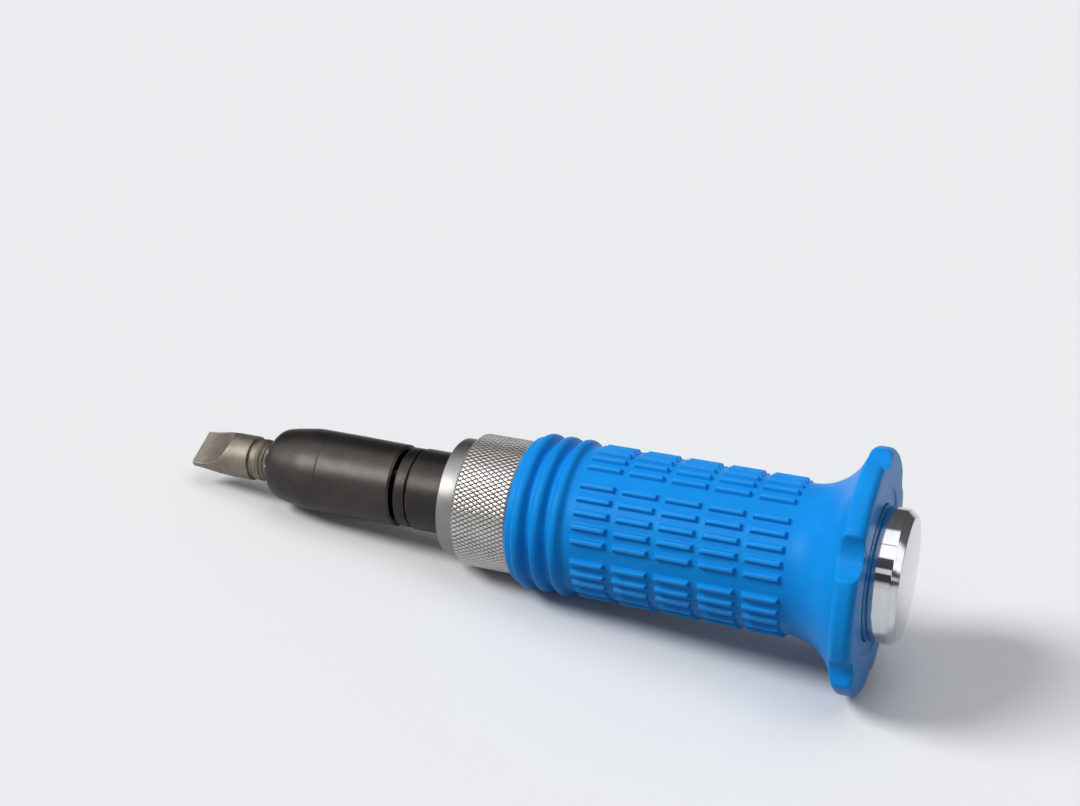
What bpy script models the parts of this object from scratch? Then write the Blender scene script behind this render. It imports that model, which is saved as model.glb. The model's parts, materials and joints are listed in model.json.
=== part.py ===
"""Hand impact driver, lying on a bench on its guard and its first grip rib.

A blow on the head drives the barrel forward over the spindle. Two pins in the barrel
press on the sloped flanks of the spindle's windows, so the spindle turns as it sinks
into the barrel, and a coil spring pushes it out again. Turning the barrel a few degrees
by hand chooses the flank, and so the direction.

Every piece is made about the tool's own axis, which runs up local Z from the tip of the
bit. Stations are distances from that tip. An angle about the axis is measured from local
-X, which faces up once the tool lies down, towards local -Y.
"""

import math

import bmesh
import bpy
from mathutils import Matrix, Vector

# Fits, cuts and fineness
GAP = 0.0003
OVERRUN = 0.002
MERGE_DISTANCE = 0.00001
GRIP_STEPS = 40
LARGE_STEPS = 32
SMALL_STEPS = 20
O_RING_SIDES = 6
SMOOTH_ANGLE = math.radians(32)

# Slotted bit
BIT_HEX = 0.008
BIT_LENGTH = 0.036
BIT_BODY_R = 0.00575
BIT_BODY_LENGTH = 0.0154
BIT_GROOVE_WIDTH = 0.0013
BIT_GROOVE_DEPTH = 0.0009
BIT_CONE_R = 0.0053
BIT_CONE_END_R = 0.0042
BIT_CONE_LENGTH = 0.0030
BIT_HEX_CHAMFER = 0.0006
BLADE_WIDTH = 0.0104
BLADE_THICKNESS = 0.0016
BLADE_FLAT_LENGTH = 0.0008
BLADE_GROUND_LENGTH = 0.0098
BLADE_TURN = math.radians(121)
GROUND_STEPS = 60

# Bit holder
BIT_SHOWN = 0.0222
HOLDER_MOUTH_R = 0.0054
HOLDER_SHOULDER_R = 0.0091
HOLDER_BELLY_R = 0.0105
HOLDER_REAR_R = 0.0103
HOLDER_NOSE_LENGTH = 0.0034
HOLDER_TAPER_LENGTH = 0.0094
HOLDER_BELLY_LENGTH = 0.0046
HOLDER_EDGE = 0.0005
HOLDER_NOSE_SHARES = ((0.12, 0.16), (0.35, 0.54), (0.65, 0.84))
HOLDER_TAPER_SHARES = ((0.5, 0.62),)
HOLDER_WEB = 0.0050
HOLDER_SETBACK = 0.0009
MAGNET_R = 0.0038
MAGNET_LENGTH = 0.003

# Spindle
DRIVE_SQUARE = 0.0127
DRIVE_LENGTH = 0.0157
DRIVE_CORNER = 0.0009
SHOULDER_R = 0.00995
SHOULDER_LENGTH = 0.003
NECK_GROOVE_WIDTH = 0.0007
NECK_GROOVE_DEPTH = 0.0009
NECK_R = 0.0102
NECK_SHOWN = 0.0102
CAM_LENGTH = 0.0277
CAM_BORE_R = 0.0055
CAM_BORE_DEPTH = 0.0222

# Blow mechanism
STROKE = 0.006
CAM_TWIST = math.radians(20)
DIRECTION_PLAY = math.radians(6)
PIN_R = 0.003
PIN_SETBACK = 0.010
PIN_REACH_INTO_WINDOW = 0.0051
WINDOW_SLOPE_SHARE = 1.3
THRUST_WASHER_THICKNESS = 0.0015
CUP_THICKNESS = 0.002
CUP_SPIGOT_LENGTH = 0.005
SPRING_WIRE_R = 0.0015
SPRING_MEAN_R = 0.0087
SPRING_COILS = 7
SPRING_END_GAP = 0.0005
POINTS_PER_COIL = 9
REAR_WASHER_THICKNESS = 0.002
WASHER_BORE_R = 0.006

# Detent in the square drive
DETENT_BALL_R = 0.0024
DETENT_PROUD = 0.0002
DETENT_FROM_SHOULDER = 0.0078
DETENT_SPRING_LENGTH = 0.0034
DETENT_WIRE_R = 0.0002
DETENT_COILS = 3

# Front ring, seal, collar, clip and bush
FRONT_RING_R = 0.0145
FRONT_RING_LENGTH = 0.0045
SEAL_LENGTH = 0.0021
SEAL_WALL = 0.0014
COLLAR_R = 0.0164
COLLAR_LENGTH = 0.0142
COLLAR_FLANGE = 0.0017
COLLAR_EDGE = 0.0004
CLIP_SETBACK = 0.0012
CLIP_THICKNESS = 0.0012
CLIP_WALL = 0.0017
CLIP_INTO_WALL = 0.0007
CLIP_MOUTH = 0.004
BUSH_LENGTH = 0.0071

# Barrel
BARREL_R = 0.015
BARREL_BORE_R = 0.0119
BARREL_NOSE_R = 0.0141
BARREL_EDGE = 0.0004
O_RING_WIRE_R = 0.0005
O_RING_SETBACK = 0.0022

# Striking head
HEAD_R = 0.0155
HEAD_LENGTH = 0.0132
HEAD_FACE_R = 0.0141
HEAD_CHAMFER_LENGTH = 0.0018
HEAD_SPIGOT_LENGTH = 0.0115
HEAD_RING_SETBACK = 0.004

# Grip sleeve with its hand guard
GRIP_SEAT_LENGTH = 0.0776
GRIP_MOUTH_R = 0.0169
GRIP_BASE_R = 0.0176
RIB_CREST_R = 0.019
RIB_COUNT = 3
RIB_FIRST = 0.002
RIB_PITCH = 0.0048
RIB_SHARES = ((-0.3, 0.62), (-0.12, 0.97), (0.12, 0.97), (0.3, 0.62), (0.5, 0.0))
BAR_GROUPS = 6
BAR_ROWS = 5
BAR_COLUMNS = 5
BAR_FIRST = 0.0164
BAR_PITCH = 0.01025
BAR_LENGTH = 0.0086
BAR_WIDTH = 0.0019
BAR_HEIGHT = 0.001
BAR_ROOT = 0.0005
BAR_TOP_SHARE = 0.78
BAR_ROW_TURN = math.radians(10.63)
FLARE_FIRST = 0.067
FLARE_LENGTH = 0.0122
FLARE_END_TURN = math.radians(70)
FLARE_POINTS = 7
GUARD_R = 0.0284
GUARD_BAND = 0.0048
GUARD_FRONT_ROUND = 0.0009
GUARD_REAR_ROUND = 0.0024
GUARD_FACE_R = 0.0196
GUARD_RECESS = 0.0009
GUARD_ROUND_POINTS = 3
SCALLOP_COUNT = 6
SCALLOP_HALF_TURN = math.radians(9.5)
SCALLOP_DEPTH = 0.002

# Stations from the bit's tip, each from the piece in front of it
HEX_SOCKET_END = BIT_LENGTH + GAP
MAGNET_SEAT_END = HEX_SOCKET_END + MAGNET_LENGTH + GAP
SQUARE_SOCKET = MAGNET_SEAT_END + HOLDER_WEB
HOLDER_REAR = SQUARE_SOCKET + DRIVE_LENGTH
SHOULDER = HOLDER_REAR + HOLDER_SETBACK
NECK = SHOULDER + SHOULDER_LENGTH + NECK_GROOVE_WIDTH
FRONT_RING = NECK + NECK_SHOWN
COLLAR = FRONT_RING + FRONT_RING_LENGTH + GAP
BARREL_NOSE = COLLAR + COLLAR_FLANGE + GAP
CLIP = BARREL_NOSE + CLIP_SETBACK + GAP
BUSH = CLIP + CLIP_THICKNESS + GAP
CAM = BUSH + BUSH_LENGTH + GAP
CAM_END = CAM + CAM_LENGTH
PINS = CAM_END - PIN_SETBACK
THRUST_WASHER = CAM_END + GAP
SPRING_CUP = THRUST_WASHER + THRUST_WASHER_THICKNESS + GAP
GRIP = COLLAR + COLLAR_LENGTH + GAP
GRIP_SEAT = GRIP + GRIP_SEAT_LENGTH
HEAD = GRIP_SEAT + GAP
HEAD_SPIGOT = HEAD - HEAD_SPIGOT_LENGTH
REAR_WASHER = HEAD_SPIGOT - GAP - REAR_WASHER_THICKNESS
DETENT = SHOULDER - DETENT_FROM_SHOULDER
FLARE = GRIP + FLARE_FIRST
GUARD_FRONT = FLARE + FLARE_LENGTH

# Radii that follow from a fit
SLIDING_R = BARREL_BORE_R - GAP
NECK_BORE_R = NECK_R + GAP
GRIP_BORE_R = BARREL_R + GAP
GUARD_BORE_R = HEAD_R + GAP
COLLAR_BORE_R = BARREL_NOSE_R + GAP
O_RING_GROOVE_R = BARREL_NOSE_R - 2 * O_RING_WIRE_R - GAP
HEAD_GROOVE_R = SLIDING_R - 2 * O_RING_WIRE_R - GAP
FLARE_END_R = GUARD_R - GUARD_FRONT_ROUND
O_RING_GROOVE_HALF = O_RING_WIRE_R + GAP


def clear_scene():
    """Remove whatever the scene holds."""
    for obj in list(bpy.data.objects):
        bpy.data.objects.remove(obj, do_unlink=True)


def new_collection(name):
    """A collection of that name in the scene."""
    made = bpy.data.collections.new(name)
    bpy.context.scene.collection.children.link(made)
    return made


def finish(name, colour, roughness, metallic):
    """A material of one colour, roughness and metallic value."""
    made = bpy.data.materials.new(name)
    made.use_nodes = True
    shader = made.node_tree.nodes["Principled BSDF"]
    shader.inputs["Base Color"].default_value = (*colour, 1)
    shader.inputs["Roughness"].default_value = roughness
    shader.inputs["Metallic"].default_value = metallic
    return made


def add_object(name, data, collection):
    """An object with that mesh or curve, in that collection."""
    made = bpy.data.objects.new(name, data)
    collection.objects.link(made)
    return made


def mesh_from(bm, name):
    """The bmesh as a mesh with its faces pointing out."""
    bmesh.ops.recalc_face_normals(bm, faces=bm.faces)
    mesh = bpy.data.meshes.new(name)
    bm.to_mesh(mesh)
    bm.free()
    return mesh


def around(turn):
    """The outward direction at an angle about the tool axis."""
    return Vector((-math.cos(turn), -math.sin(turn), 0))


def turned(name, outline, steps, collection):
    """A solid turned about the tool axis from (radius, station) points, down its outer side."""
    bm = bmesh.new()
    points = [bm.verts.new((radius, 0, station)) for radius, station in outline]
    for first, second in zip(points, points[1:]):
        bm.edges.new((first, second))
    if outline[0][0] > 0:
        bm.edges.new((points[-1], points[0]))
    mesh = bpy.data.meshes.new(name)
    bm.to_mesh(mesh)
    bm.free()
    made = add_object(name, mesh, collection)
    screw = made.modifiers.new("Turn", "SCREW")
    screw.axis = "Z"
    screw.steps = steps
    screw.render_steps = steps
    screw.use_merge_vertices = True
    screw.merge_threshold = MERGE_DISTANCE
    return made


def tube_outline(inner, outer, low, high):
    """The outline of a plain ring."""
    return [(inner, high), (outer, high), (outer, low), (inner, low)]


def prism(name, sides, across_flats, low, high, collection):
    """A bar of regular section along the tool axis, with one flat facing up."""
    bm = bmesh.new()
    corner = across_flats / 2 / math.cos(math.pi / sides)
    place = Matrix.Translation((0, 0, (low + high) / 2)) @ Matrix.Rotation(math.pi / sides, 4, "Z")
    bmesh.ops.create_cone(
        bm, cap_ends=True, segments=sides, radius1=corner, radius2=corner, depth=high - low, matrix=place
    )
    return add_object(name, mesh_from(bm, name), collection)


def rod(name, radius, start, end, steps, collection):
    """A round bar between two points."""
    bm = bmesh.new()
    along = end - start
    turn = along.to_track_quat("Z", "Y").to_matrix().to_4x4()
    place = Matrix.Translation((start + end) / 2) @ turn
    bmesh.ops.create_cone(
        bm, cap_ends=True, segments=steps, radius1=radius, radius2=radius, depth=along.length, matrix=place
    )
    return add_object(name, mesh_from(bm, name), collection)


def loft(name, sections, collection):
    """A closed body through like-sized rings of points."""
    bm = bmesh.new()
    rings = [[bm.verts.new(point) for point in section] for section in sections]
    for low, high in zip(rings, rings[1:]):
        for place, start in enumerate(low):
            after = (place + 1) % len(low)
            bm.faces.new((start, low[after], high[after], high[place]))
    bm.faces.new(rings[0])
    bm.faces.new(rings[-1])
    return add_object(name, mesh_from(bm, name), collection)


def boolean(target, other, operation):
    """Cut the other object from the target, or join it on."""
    modifier = target.modifiers.new(other.name, "BOOLEAN")
    modifier.operation = operation
    modifier.solver = "EXACT"
    modifier.object = other
    other.hide_render = True
    other.display_type = "WIRE"


def settle(obj, material):
    """Replace the object's mesh by its finished shape, shaded smooth but for its sharp edges."""
    bpy.context.view_layer.update()
    graph = bpy.context.evaluated_depsgraph_get()
    shape = bpy.data.meshes.new_from_object(obj.evaluated_get(graph))
    obj.modifiers.clear()
    if obj.type == "CURVE":
        shape = welded(shape)
        name, collection, parent_place = obj.name, obj.users_collection[0], obj.matrix_world.copy()
        bpy.data.objects.remove(obj, do_unlink=True)
        obj = add_object(name, shape, collection)
        obj.matrix_world = parent_place
    obj.data = shape
    shape.name = obj.name
    shape.materials.clear()
    shape.materials.append(material)
    shape.shade_smooth()
    shape.set_sharp_from_angle(angle=SMOOTH_ANGLE)
    return obj


def welded(mesh):
    """The mesh with its loose caps joined on."""
    bm = bmesh.new()
    bm.from_mesh(mesh)
    bmesh.ops.remove_doubles(bm, verts=bm.verts, dist=MERGE_DISTANCE)
    bmesh.ops.recalc_face_normals(bm, faces=bm.faces)
    bm.to_mesh(mesh)
    bm.free()
    return mesh


def coil(name, mean_r, wire_r, coils, end_pitch, length, collection):
    """A coil spring along Z whose first and last coils lie close, as one unbroken tube.

    The centre line climbs by the end pitch over the first and the last coil and by an
    even, wider pitch between them. Length is from the wire's centre to its centre.
    """
    open_pitch = (length - 2 * end_pitch) / (coils - 2)
    points = []
    for step in range(coils * POINTS_PER_COIL + 1):
        turns = step / POINTS_PER_COIL
        closed_below = min(turns, 1)
        closed_above = max(turns - (coils - 1), 0)
        opened = turns - closed_below - closed_above
        height = end_pitch * (closed_below + closed_above) + open_pitch * opened
        angle = 2 * math.pi * turns
        points.append(Vector((mean_r * math.cos(angle), mean_r * math.sin(angle), height)))
    apart = POINTS_PER_COIL // 2
    nearest = min(
        (first - second).length
        for index, first in enumerate(points)
        for second in points[index + apart :]
    )
    print(f"{name}: least gap between coils {1000 * (nearest - 2 * wire_r):.2f} mm")
    curve = bpy.data.curves.new(name, "CURVE")
    curve.dimensions = "3D"
    curve.bevel_depth = wire_r
    curve.bevel_resolution = 1
    curve.use_fill_caps = True
    spline = curve.splines.new("POLY")
    spline.points.add(len(points) - 1)
    for place, point in zip(spline.points, points):
        place.co = (*point, 1)
    return add_object(name, curve, collection)


def make_bit(parts, cutters, steel):
    """Slotted bit: turned body, hexagon shank and a blade hollow ground from both sides."""
    groove = BIT_BODY_LENGTH
    cone = groove + BIT_GROOVE_WIDTH
    cone_end = cone + BIT_CONE_LENGTH
    outline = [
        (0, cone_end),
        (BIT_CONE_END_R, cone_end),
        (BIT_CONE_R, (cone + cone_end) / 2),
        (BIT_CONE_R, cone),
        (BIT_BODY_R - BIT_GROOVE_DEPTH, cone),
        (BIT_BODY_R - BIT_GROOVE_DEPTH, groove),
        (BIT_BODY_R, groove),
        (BIT_BODY_R, BLADE_GROUND_LENGTH),
        (BLADE_WIDTH / 2, 0),
        (0, 0),
    ]
    bit = turned("slotted_bit", outline, LARGE_STEPS, parts)
    shank = prism("bit_shank", 6, BIT_HEX, cone, BIT_LENGTH, cutters)
    corner = BIT_HEX / 2 / math.cos(math.pi / 6)
    end_cone = [
        (0, BIT_LENGTH + OVERRUN),
        (corner - BIT_HEX_CHAMFER - OVERRUN, BIT_LENGTH + OVERRUN),
        (corner + OVERRUN, BIT_LENGTH - BIT_HEX_CHAMFER - OVERRUN),
        (corner + OVERRUN, cone - OVERRUN),
        (0, cone - OVERRUN),
    ]
    boolean(shank, turned("bit_shank_end", end_cone, SMALL_STEPS, cutters), "INTERSECT")
    boolean(bit, shank, "UNION")
    rise = BIT_BODY_R - BLADE_THICKNESS / 2
    run = BLADE_GROUND_LENGTH - BLADE_FLAT_LENGTH
    ground_r = (run * run + rise * rise) / (2 * rise)
    reach = around(BLADE_TURN) * (BIT_BODY_R + OVERRUN)
    for side, away in (("near", 1), ("far", -1)):
        across = around(BLADE_TURN + math.pi / 2) * away
        centre = across * (BLADE_THICKNESS / 2 + ground_r) + Vector((0, 0, BLADE_FLAT_LENGTH))
        wheel = rod(f"grinding_{side}", ground_r, centre - reach, centre + reach, GROUND_STEPS, cutters)
        boolean(bit, wheel, "DIFFERENCE")
    return settle(bit, steel)


def holder_outline():
    """Down the holder's outside from its rear edge to its mouth."""
    shoulder = BIT_SHOWN + HOLDER_NOSE_LENGTH
    belly = shoulder + HOLDER_TAPER_LENGTH
    taper = [
        (HOLDER_SHOULDER_R + rise * (HOLDER_BELLY_R - HOLDER_SHOULDER_R), shoulder + run * HOLDER_TAPER_LENGTH)
        for run, rise in reversed(HOLDER_TAPER_SHARES)
    ]
    nose = [
        (HOLDER_MOUTH_R + rise * (HOLDER_SHOULDER_R - HOLDER_MOUTH_R), BIT_SHOWN + run * HOLDER_NOSE_LENGTH)
        for run, rise in reversed(HOLDER_NOSE_SHARES)
    ]
    return [
        (0, HOLDER_REAR),
        (HOLDER_REAR_R - HOLDER_EDGE, HOLDER_REAR),
        (HOLDER_REAR_R, HOLDER_REAR - HOLDER_EDGE),
        (HOLDER_BELLY_R, belly + HOLDER_BELLY_LENGTH),
        (HOLDER_BELLY_R, belly),
        *taper,
        (HOLDER_SHOULDER_R, shoulder),
        *nose,
        (HOLDER_MOUTH_R, BIT_SHOWN),
        (0, BIT_SHOWN),
    ]


def make_holder(parts, cutters, steel):
    """Bit holder: hexagon socket in front, magnet seat behind it, square socket at the rear."""
    holder = turned("bit_holder", holder_outline(), LARGE_STEPS, parts)
    hexagon = prism("hexagon_socket", 6, BIT_HEX + 2 * GAP, BIT_SHOWN - OVERRUN, HEX_SOCKET_END, cutters)
    seat_outline = [
        (0, MAGNET_SEAT_END),
        (MAGNET_R + GAP, MAGNET_SEAT_END),
        (MAGNET_R + GAP, BIT_LENGTH - OVERRUN),
        (0, BIT_LENGTH - OVERRUN),
    ]
    seat = turned("magnet_seat", seat_outline, SMALL_STEPS, cutters)
    across = DRIVE_SQUARE + 2 * GAP
    square = prism("square_socket", 4, across, SQUARE_SOCKET, HOLDER_REAR + OVERRUN, cutters)
    for cutter in (hexagon, seat, square):
        boolean(holder, cutter, "DIFFERENCE")
    return settle(holder, steel)


def make_magnet(parts, nickel):
    """Round magnet behind the bit."""
    low = HEX_SOCKET_END
    outline = [(0, low + MAGNET_LENGTH), (MAGNET_R, low + MAGNET_LENGTH), (MAGNET_R, low), (0, low)]
    return settle(turned("socket_magnet", outline, SMALL_STEPS, parts), nickel)


def window_sections(side):
    """Sections of one cam window: as wide as a pin at its rest end, and spread by the twist at the other.

    At every height the half width is where the pin's side lies once the direction play and
    the twist so far have swung it, with a clearance that is stretched for the flank's slope.
    """
    clear = PIN_R + GAP
    levels = (
        (PINS + clear, 0),
        (PINS, 0),
        (PINS - STROKE, 1),
        (PINS - STROKE - clear, 1),
    )
    inner = CAM_BORE_R - OVERRUN
    outer = BARREL_BORE_R + OVERRUN
    sections = []
    for station, twisted in levels:
        swing = DIRECTION_PLAY + CAM_TWIST * twisted
        side_clear = clear * WINDOW_SLOPE_SHARE / math.cos(swing)
        half_in = side_clear + inner * math.tan(swing)
        half_out = side_clear + outer * math.tan(swing)
        sections.append(
            [
                Vector((-half_in, side * inner, station)),
                Vector((half_in, side * inner, station)),
                Vector((half_out, side * outer, station)),
                Vector((-half_out, side * outer, station)),
            ]
        )
    return sections


def make_spindle(parts, cutters, steel):
    """Spindle: square drive, turned shoulder and neck, and the hollow cam end with its two windows."""
    groove = SHOULDER + SHOULDER_LENGTH
    outline = [
        (0, CAM_END - CAM_BORE_DEPTH),
        (CAM_BORE_R, CAM_END - CAM_BORE_DEPTH),
        (CAM_BORE_R, CAM_END),
        (SLIDING_R, CAM_END),
        (SLIDING_R, CAM),
        (NECK_R, CAM),
        (NECK_R, NECK),
        (NECK_R - NECK_GROOVE_DEPTH, NECK),
        (NECK_R - NECK_GROOVE_DEPTH, groove),
        (SHOULDER_R, groove),
        (SHOULDER_R, SHOULDER),
        (0, SHOULDER),
    ]
    spindle = turned("spindle", outline, LARGE_STEPS, parts)
    bm = bmesh.new()
    low = SHOULDER - DRIVE_LENGTH
    high = SHOULDER + OVERRUN
    size = Matrix.Diagonal((DRIVE_SQUARE, DRIVE_SQUARE, high - low, 1))
    bmesh.ops.create_cube(bm, size=1, matrix=Matrix.Translation((0, 0, (low + high) / 2)) @ size)
    middle = (low + high) / 2
    rounded = [edge for edge in bm.edges if min(vert.co.z for vert in edge.verts) < middle]
    bmesh.ops.bevel(bm, geom=rounded, offset=DRIVE_CORNER, segments=2, profile=0.5, affect="EDGES")
    square = add_object("square_drive", mesh_from(bm, "square_drive"), cutters)
    boolean(spindle, square, "UNION")
    face = around(0) * (DRIVE_SQUARE / 2 + OVERRUN) + Vector((0, 0, DETENT))
    bottom = around(0) * detent_floor() + Vector((0, 0, DETENT))
    hole = rod("detent_hole", DETENT_BALL_R + GAP, face, bottom, SMALL_STEPS, cutters)
    boolean(spindle, hole, "DIFFERENCE")
    for name, side in (("near_window", -1), ("far_window", 1)):
        boolean(spindle, loft(name, window_sections(side), cutters), "DIFFERENCE")
    return settle(spindle, steel)


def detent_centre():
    """How far the detent ball's centre lies from the tool axis."""
    return DRIVE_SQUARE / 2 + DETENT_PROUD - DETENT_BALL_R


def detent_floor():
    """Where the ball's hole ends, measured from the tool axis."""
    return detent_centre() - DETENT_BALL_R - DETENT_SPRING_LENGTH - 2 * GAP


def make_detent(parts, steel):
    """Ball and spring that click into the holder's square socket."""
    bm = bmesh.new()
    bmesh.ops.create_uvsphere(bm, u_segments=16, v_segments=10, radius=DETENT_BALL_R)
    ball = add_object("detent_ball", mesh_from(bm, "detent_ball"), parts)
    ball = settle(ball, steel)
    ball.location = around(0) * detent_centre() + Vector((0, 0, DETENT))
    wire_run = DETENT_SPRING_LENGTH - 2 * DETENT_WIRE_R
    end_pitch = 2 * DETENT_WIRE_R + SPRING_END_GAP
    mean_r = DETENT_BALL_R - 2 * DETENT_WIRE_R
    spring = coil("detent_spring", mean_r, DETENT_WIRE_R, DETENT_COILS, end_pitch, wire_run, parts)
    spring.rotation_euler = (0, -math.pi / 2, 0)
    spring.location = around(0) * (detent_floor() + GAP + DETENT_WIRE_R) + Vector((0, 0, DETENT))
    return ball, settle(spring, steel)


def make_front_ring(parts, steel):
    """Ring in front of the collar, recessed behind for the seal."""
    rear = FRONT_RING + FRONT_RING_LENGTH
    seat = rear - SEAL_LENGTH - GAP
    outline = [
        (NECK_BORE_R + SEAL_WALL + GAP, rear),
        (FRONT_RING_R, rear),
        (FRONT_RING_R, FRONT_RING + COLLAR_EDGE),
        (FRONT_RING_R - COLLAR_EDGE, FRONT_RING),
        (NECK_BORE_R, FRONT_RING),
        (NECK_BORE_R, seat),
        (NECK_BORE_R + SEAL_WALL + GAP, seat),
    ]
    return settle(turned("front_ring", outline, LARGE_STEPS, parts), steel)


def make_seal(parts, rubber):
    """Rubber ring that keeps dirt off the neck."""
    rear = FRONT_RING + FRONT_RING_LENGTH
    outline = tube_outline(NECK_BORE_R, NECK_BORE_R + SEAL_WALL, rear - SEAL_LENGTH, rear)
    return settle(turned("dust_seal", outline, SMALL_STEPS, parts), rubber)


def make_collar(parts, steel):
    """Knurled collar that screws over the barrel's nose."""
    flange = COLLAR + COLLAR_FLANGE
    rear = COLLAR + COLLAR_LENGTH
    outline = [
        (COLLAR_BORE_R, rear),
        (COLLAR_R - COLLAR_EDGE, rear),
        (COLLAR_R, rear - COLLAR_EDGE),
        (COLLAR_R, COLLAR + COLLAR_EDGE),
        (COLLAR_R - COLLAR_EDGE, COLLAR),
        (NECK_BORE_R + GAP, COLLAR),
        (NECK_BORE_R + GAP, flange),
        (COLLAR_BORE_R, flange),
    ]
    return settle(turned("knurled_collar", outline, LARGE_STEPS, parts), steel)


def make_clip(parts, cutters, steel):
    """Open spring clip in the barrel's bore, in front of the bush."""
    outer = BARREL_BORE_R + CLIP_INTO_WALL
    inner = outer - CLIP_WALL
    clip = turned("bush_circlip", tube_outline(inner, outer, CLIP, CLIP + CLIP_THICKNESS), SMALL_STEPS, parts)
    mouth = Vector((0, 0, CLIP - OVERRUN))
    size = Matrix.Diagonal((CLIP_MOUTH, 2 * outer, CLIP_THICKNESS + 2 * OVERRUN, 1))
    bm = bmesh.new()
    bmesh.ops.create_cube(bm, size=1, matrix=size)
    bmesh.ops.translate(bm, verts=bm.verts, vec=mouth + Vector((0, outer, OVERRUN + CLIP_THICKNESS / 2)))
    boolean(clip, add_object("clip_mouth", mesh_from(bm, "clip_mouth"), cutters), "DIFFERENCE")
    return settle(clip, steel)


def make_bush(parts, bronze):
    """Plain bearing of the neck."""
    outline = tube_outline(NECK_BORE_R, SLIDING_R, BUSH, BUSH + BUSH_LENGTH)
    return settle(turned("front_bush", outline, LARGE_STEPS, parts), bronze)


def make_barrel(parts, cutters, steel):
    """Steel barrel: nose for the collar, bore for the cam and spring, and two cross holes for the pins."""
    rear = GRIP_SEAT
    ring = GRIP - O_RING_SETBACK
    groove_r = BARREL_BORE_R + CLIP_INTO_WALL + GAP
    outline = [
        (BARREL_BORE_R, rear),
        (BARREL_R, rear),
        (BARREL_R, GRIP),
        (BARREL_NOSE_R, GRIP),
        (BARREL_NOSE_R, ring + O_RING_GROOVE_HALF),
        (O_RING_GROOVE_R, ring + O_RING_GROOVE_HALF),
        (O_RING_GROOVE_R, ring - O_RING_GROOVE_HALF),
        (BARREL_NOSE_R, ring - O_RING_GROOVE_HALF),
        (BARREL_NOSE_R, BARREL_NOSE + BARREL_EDGE),
        (BARREL_NOSE_R - BARREL_EDGE, BARREL_NOSE),
        (BARREL_BORE_R, BARREL_NOSE),
        (BARREL_BORE_R, CLIP - GAP),
        (groove_r, CLIP - GAP),
        (groove_r, CLIP + CLIP_THICKNESS + GAP),
        (BARREL_BORE_R, CLIP + CLIP_THICKNESS + GAP),
    ]
    barrel = turned("body_barrel", outline, LARGE_STEPS, parts)
    through = Vector((0, BARREL_R + OVERRUN, 0))
    centre = Vector((0, 0, PINS))
    hole = rod("pin_holes", PIN_R + GAP, centre - through, centre + through, SMALL_STEPS, cutters)
    boolean(barrel, hole, "DIFFERENCE")
    return settle(barrel, steel)


def make_pins(parts, steel):
    """Two pins that sit in the barrel wall and reach into the spindle's windows."""
    made = []
    for name, turn in (("cam_pin_near", math.pi / 2), ("cam_pin_far", -math.pi / 2)):
        foot = around(turn) * (SLIDING_R - PIN_REACH_INTO_WINDOW) + Vector((0, 0, PINS))
        top = around(turn) * (BARREL_R - GAP) + Vector((0, 0, PINS))
        made.append(settle(rod(name, PIN_R, foot, top, SMALL_STEPS, parts), steel))
    return made


def make_o_ring(name, groove_r, station, parts, rubber):
    """Rubber ring in a turned groove."""
    centre = groove_r + GAP + O_RING_WIRE_R
    turns = [2 * math.pi * side / O_RING_SIDES for side in range(O_RING_SIDES)]
    outline = [
        (centre + O_RING_WIRE_R * math.cos(turn), station - O_RING_WIRE_R * math.sin(turn)) for turn in turns
    ]
    return settle(turned(name, outline, SMALL_STEPS, parts), rubber)


def make_thrust_pieces(parts, bronze, steel):
    """Thrust washer, spring cup and rear washer."""
    washer_outline = tube_outline(WASHER_BORE_R, SLIDING_R, THRUST_WASHER, THRUST_WASHER + THRUST_WASHER_THICKNESS)
    washer = turned("thrust_washer", washer_outline, SMALL_STEPS, parts)
    spigot_r = SPRING_MEAN_R - SPRING_WIRE_R - 2 * GAP
    face = SPRING_CUP + CUP_THICKNESS
    cup_outline = [
        (0, face + CUP_SPIGOT_LENGTH),
        (spigot_r, face + CUP_SPIGOT_LENGTH),
        (spigot_r, face),
        (SLIDING_R, face),
        (SLIDING_R, SPRING_CUP),
        (0, SPRING_CUP),
    ]
    cup = turned("spring_cup", cup_outline, SMALL_STEPS, parts)
    rear_outline = tube_outline(WASHER_BORE_R, SLIDING_R, REAR_WASHER, REAR_WASHER + REAR_WASHER_THICKNESS)
    rear = turned("rear_washer", rear_outline, SMALL_STEPS, parts)
    return settle(washer, bronze), settle(cup, steel), settle(rear, steel)


def make_spring(parts, steel):
    """Return spring between the cup and the rear washer."""
    low = SPRING_CUP + CUP_THICKNESS + GAP + SPRING_WIRE_R
    high = REAR_WASHER - GAP - SPRING_WIRE_R
    end_pitch = 2 * SPRING_WIRE_R + SPRING_END_GAP
    spring = coil("compression_spring", SPRING_MEAN_R, SPRING_WIRE_R, SPRING_COILS, end_pitch, high - low, parts)
    spring.location = (0, 0, low)
    return settle(spring, steel)


def make_head(parts, chrome):
    """Striking head: bevelled face, plain cylinder and a spigot that closes the barrel."""
    face = HEAD + HEAD_LENGTH
    ring = HEAD - HEAD_RING_SETBACK
    outline = [
        (0, face),
        (HEAD_FACE_R, face),
        (HEAD_R, face - HEAD_CHAMFER_LENGTH),
        (HEAD_R, HEAD),
        (SLIDING_R, HEAD),
        (SLIDING_R, ring + O_RING_GROOVE_HALF),
        (HEAD_GROOVE_R, ring + O_RING_GROOVE_HALF),
        (HEAD_GROOVE_R, ring - O_RING_GROOVE_HALF),
        (SLIDING_R, ring - O_RING_GROOVE_HALF),
        (SLIDING_R, HEAD_SPIGOT),
        (0, HEAD_SPIGOT),
    ]
    return settle(turned("striking_head", outline, LARGE_STEPS, parts), chrome)


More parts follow.
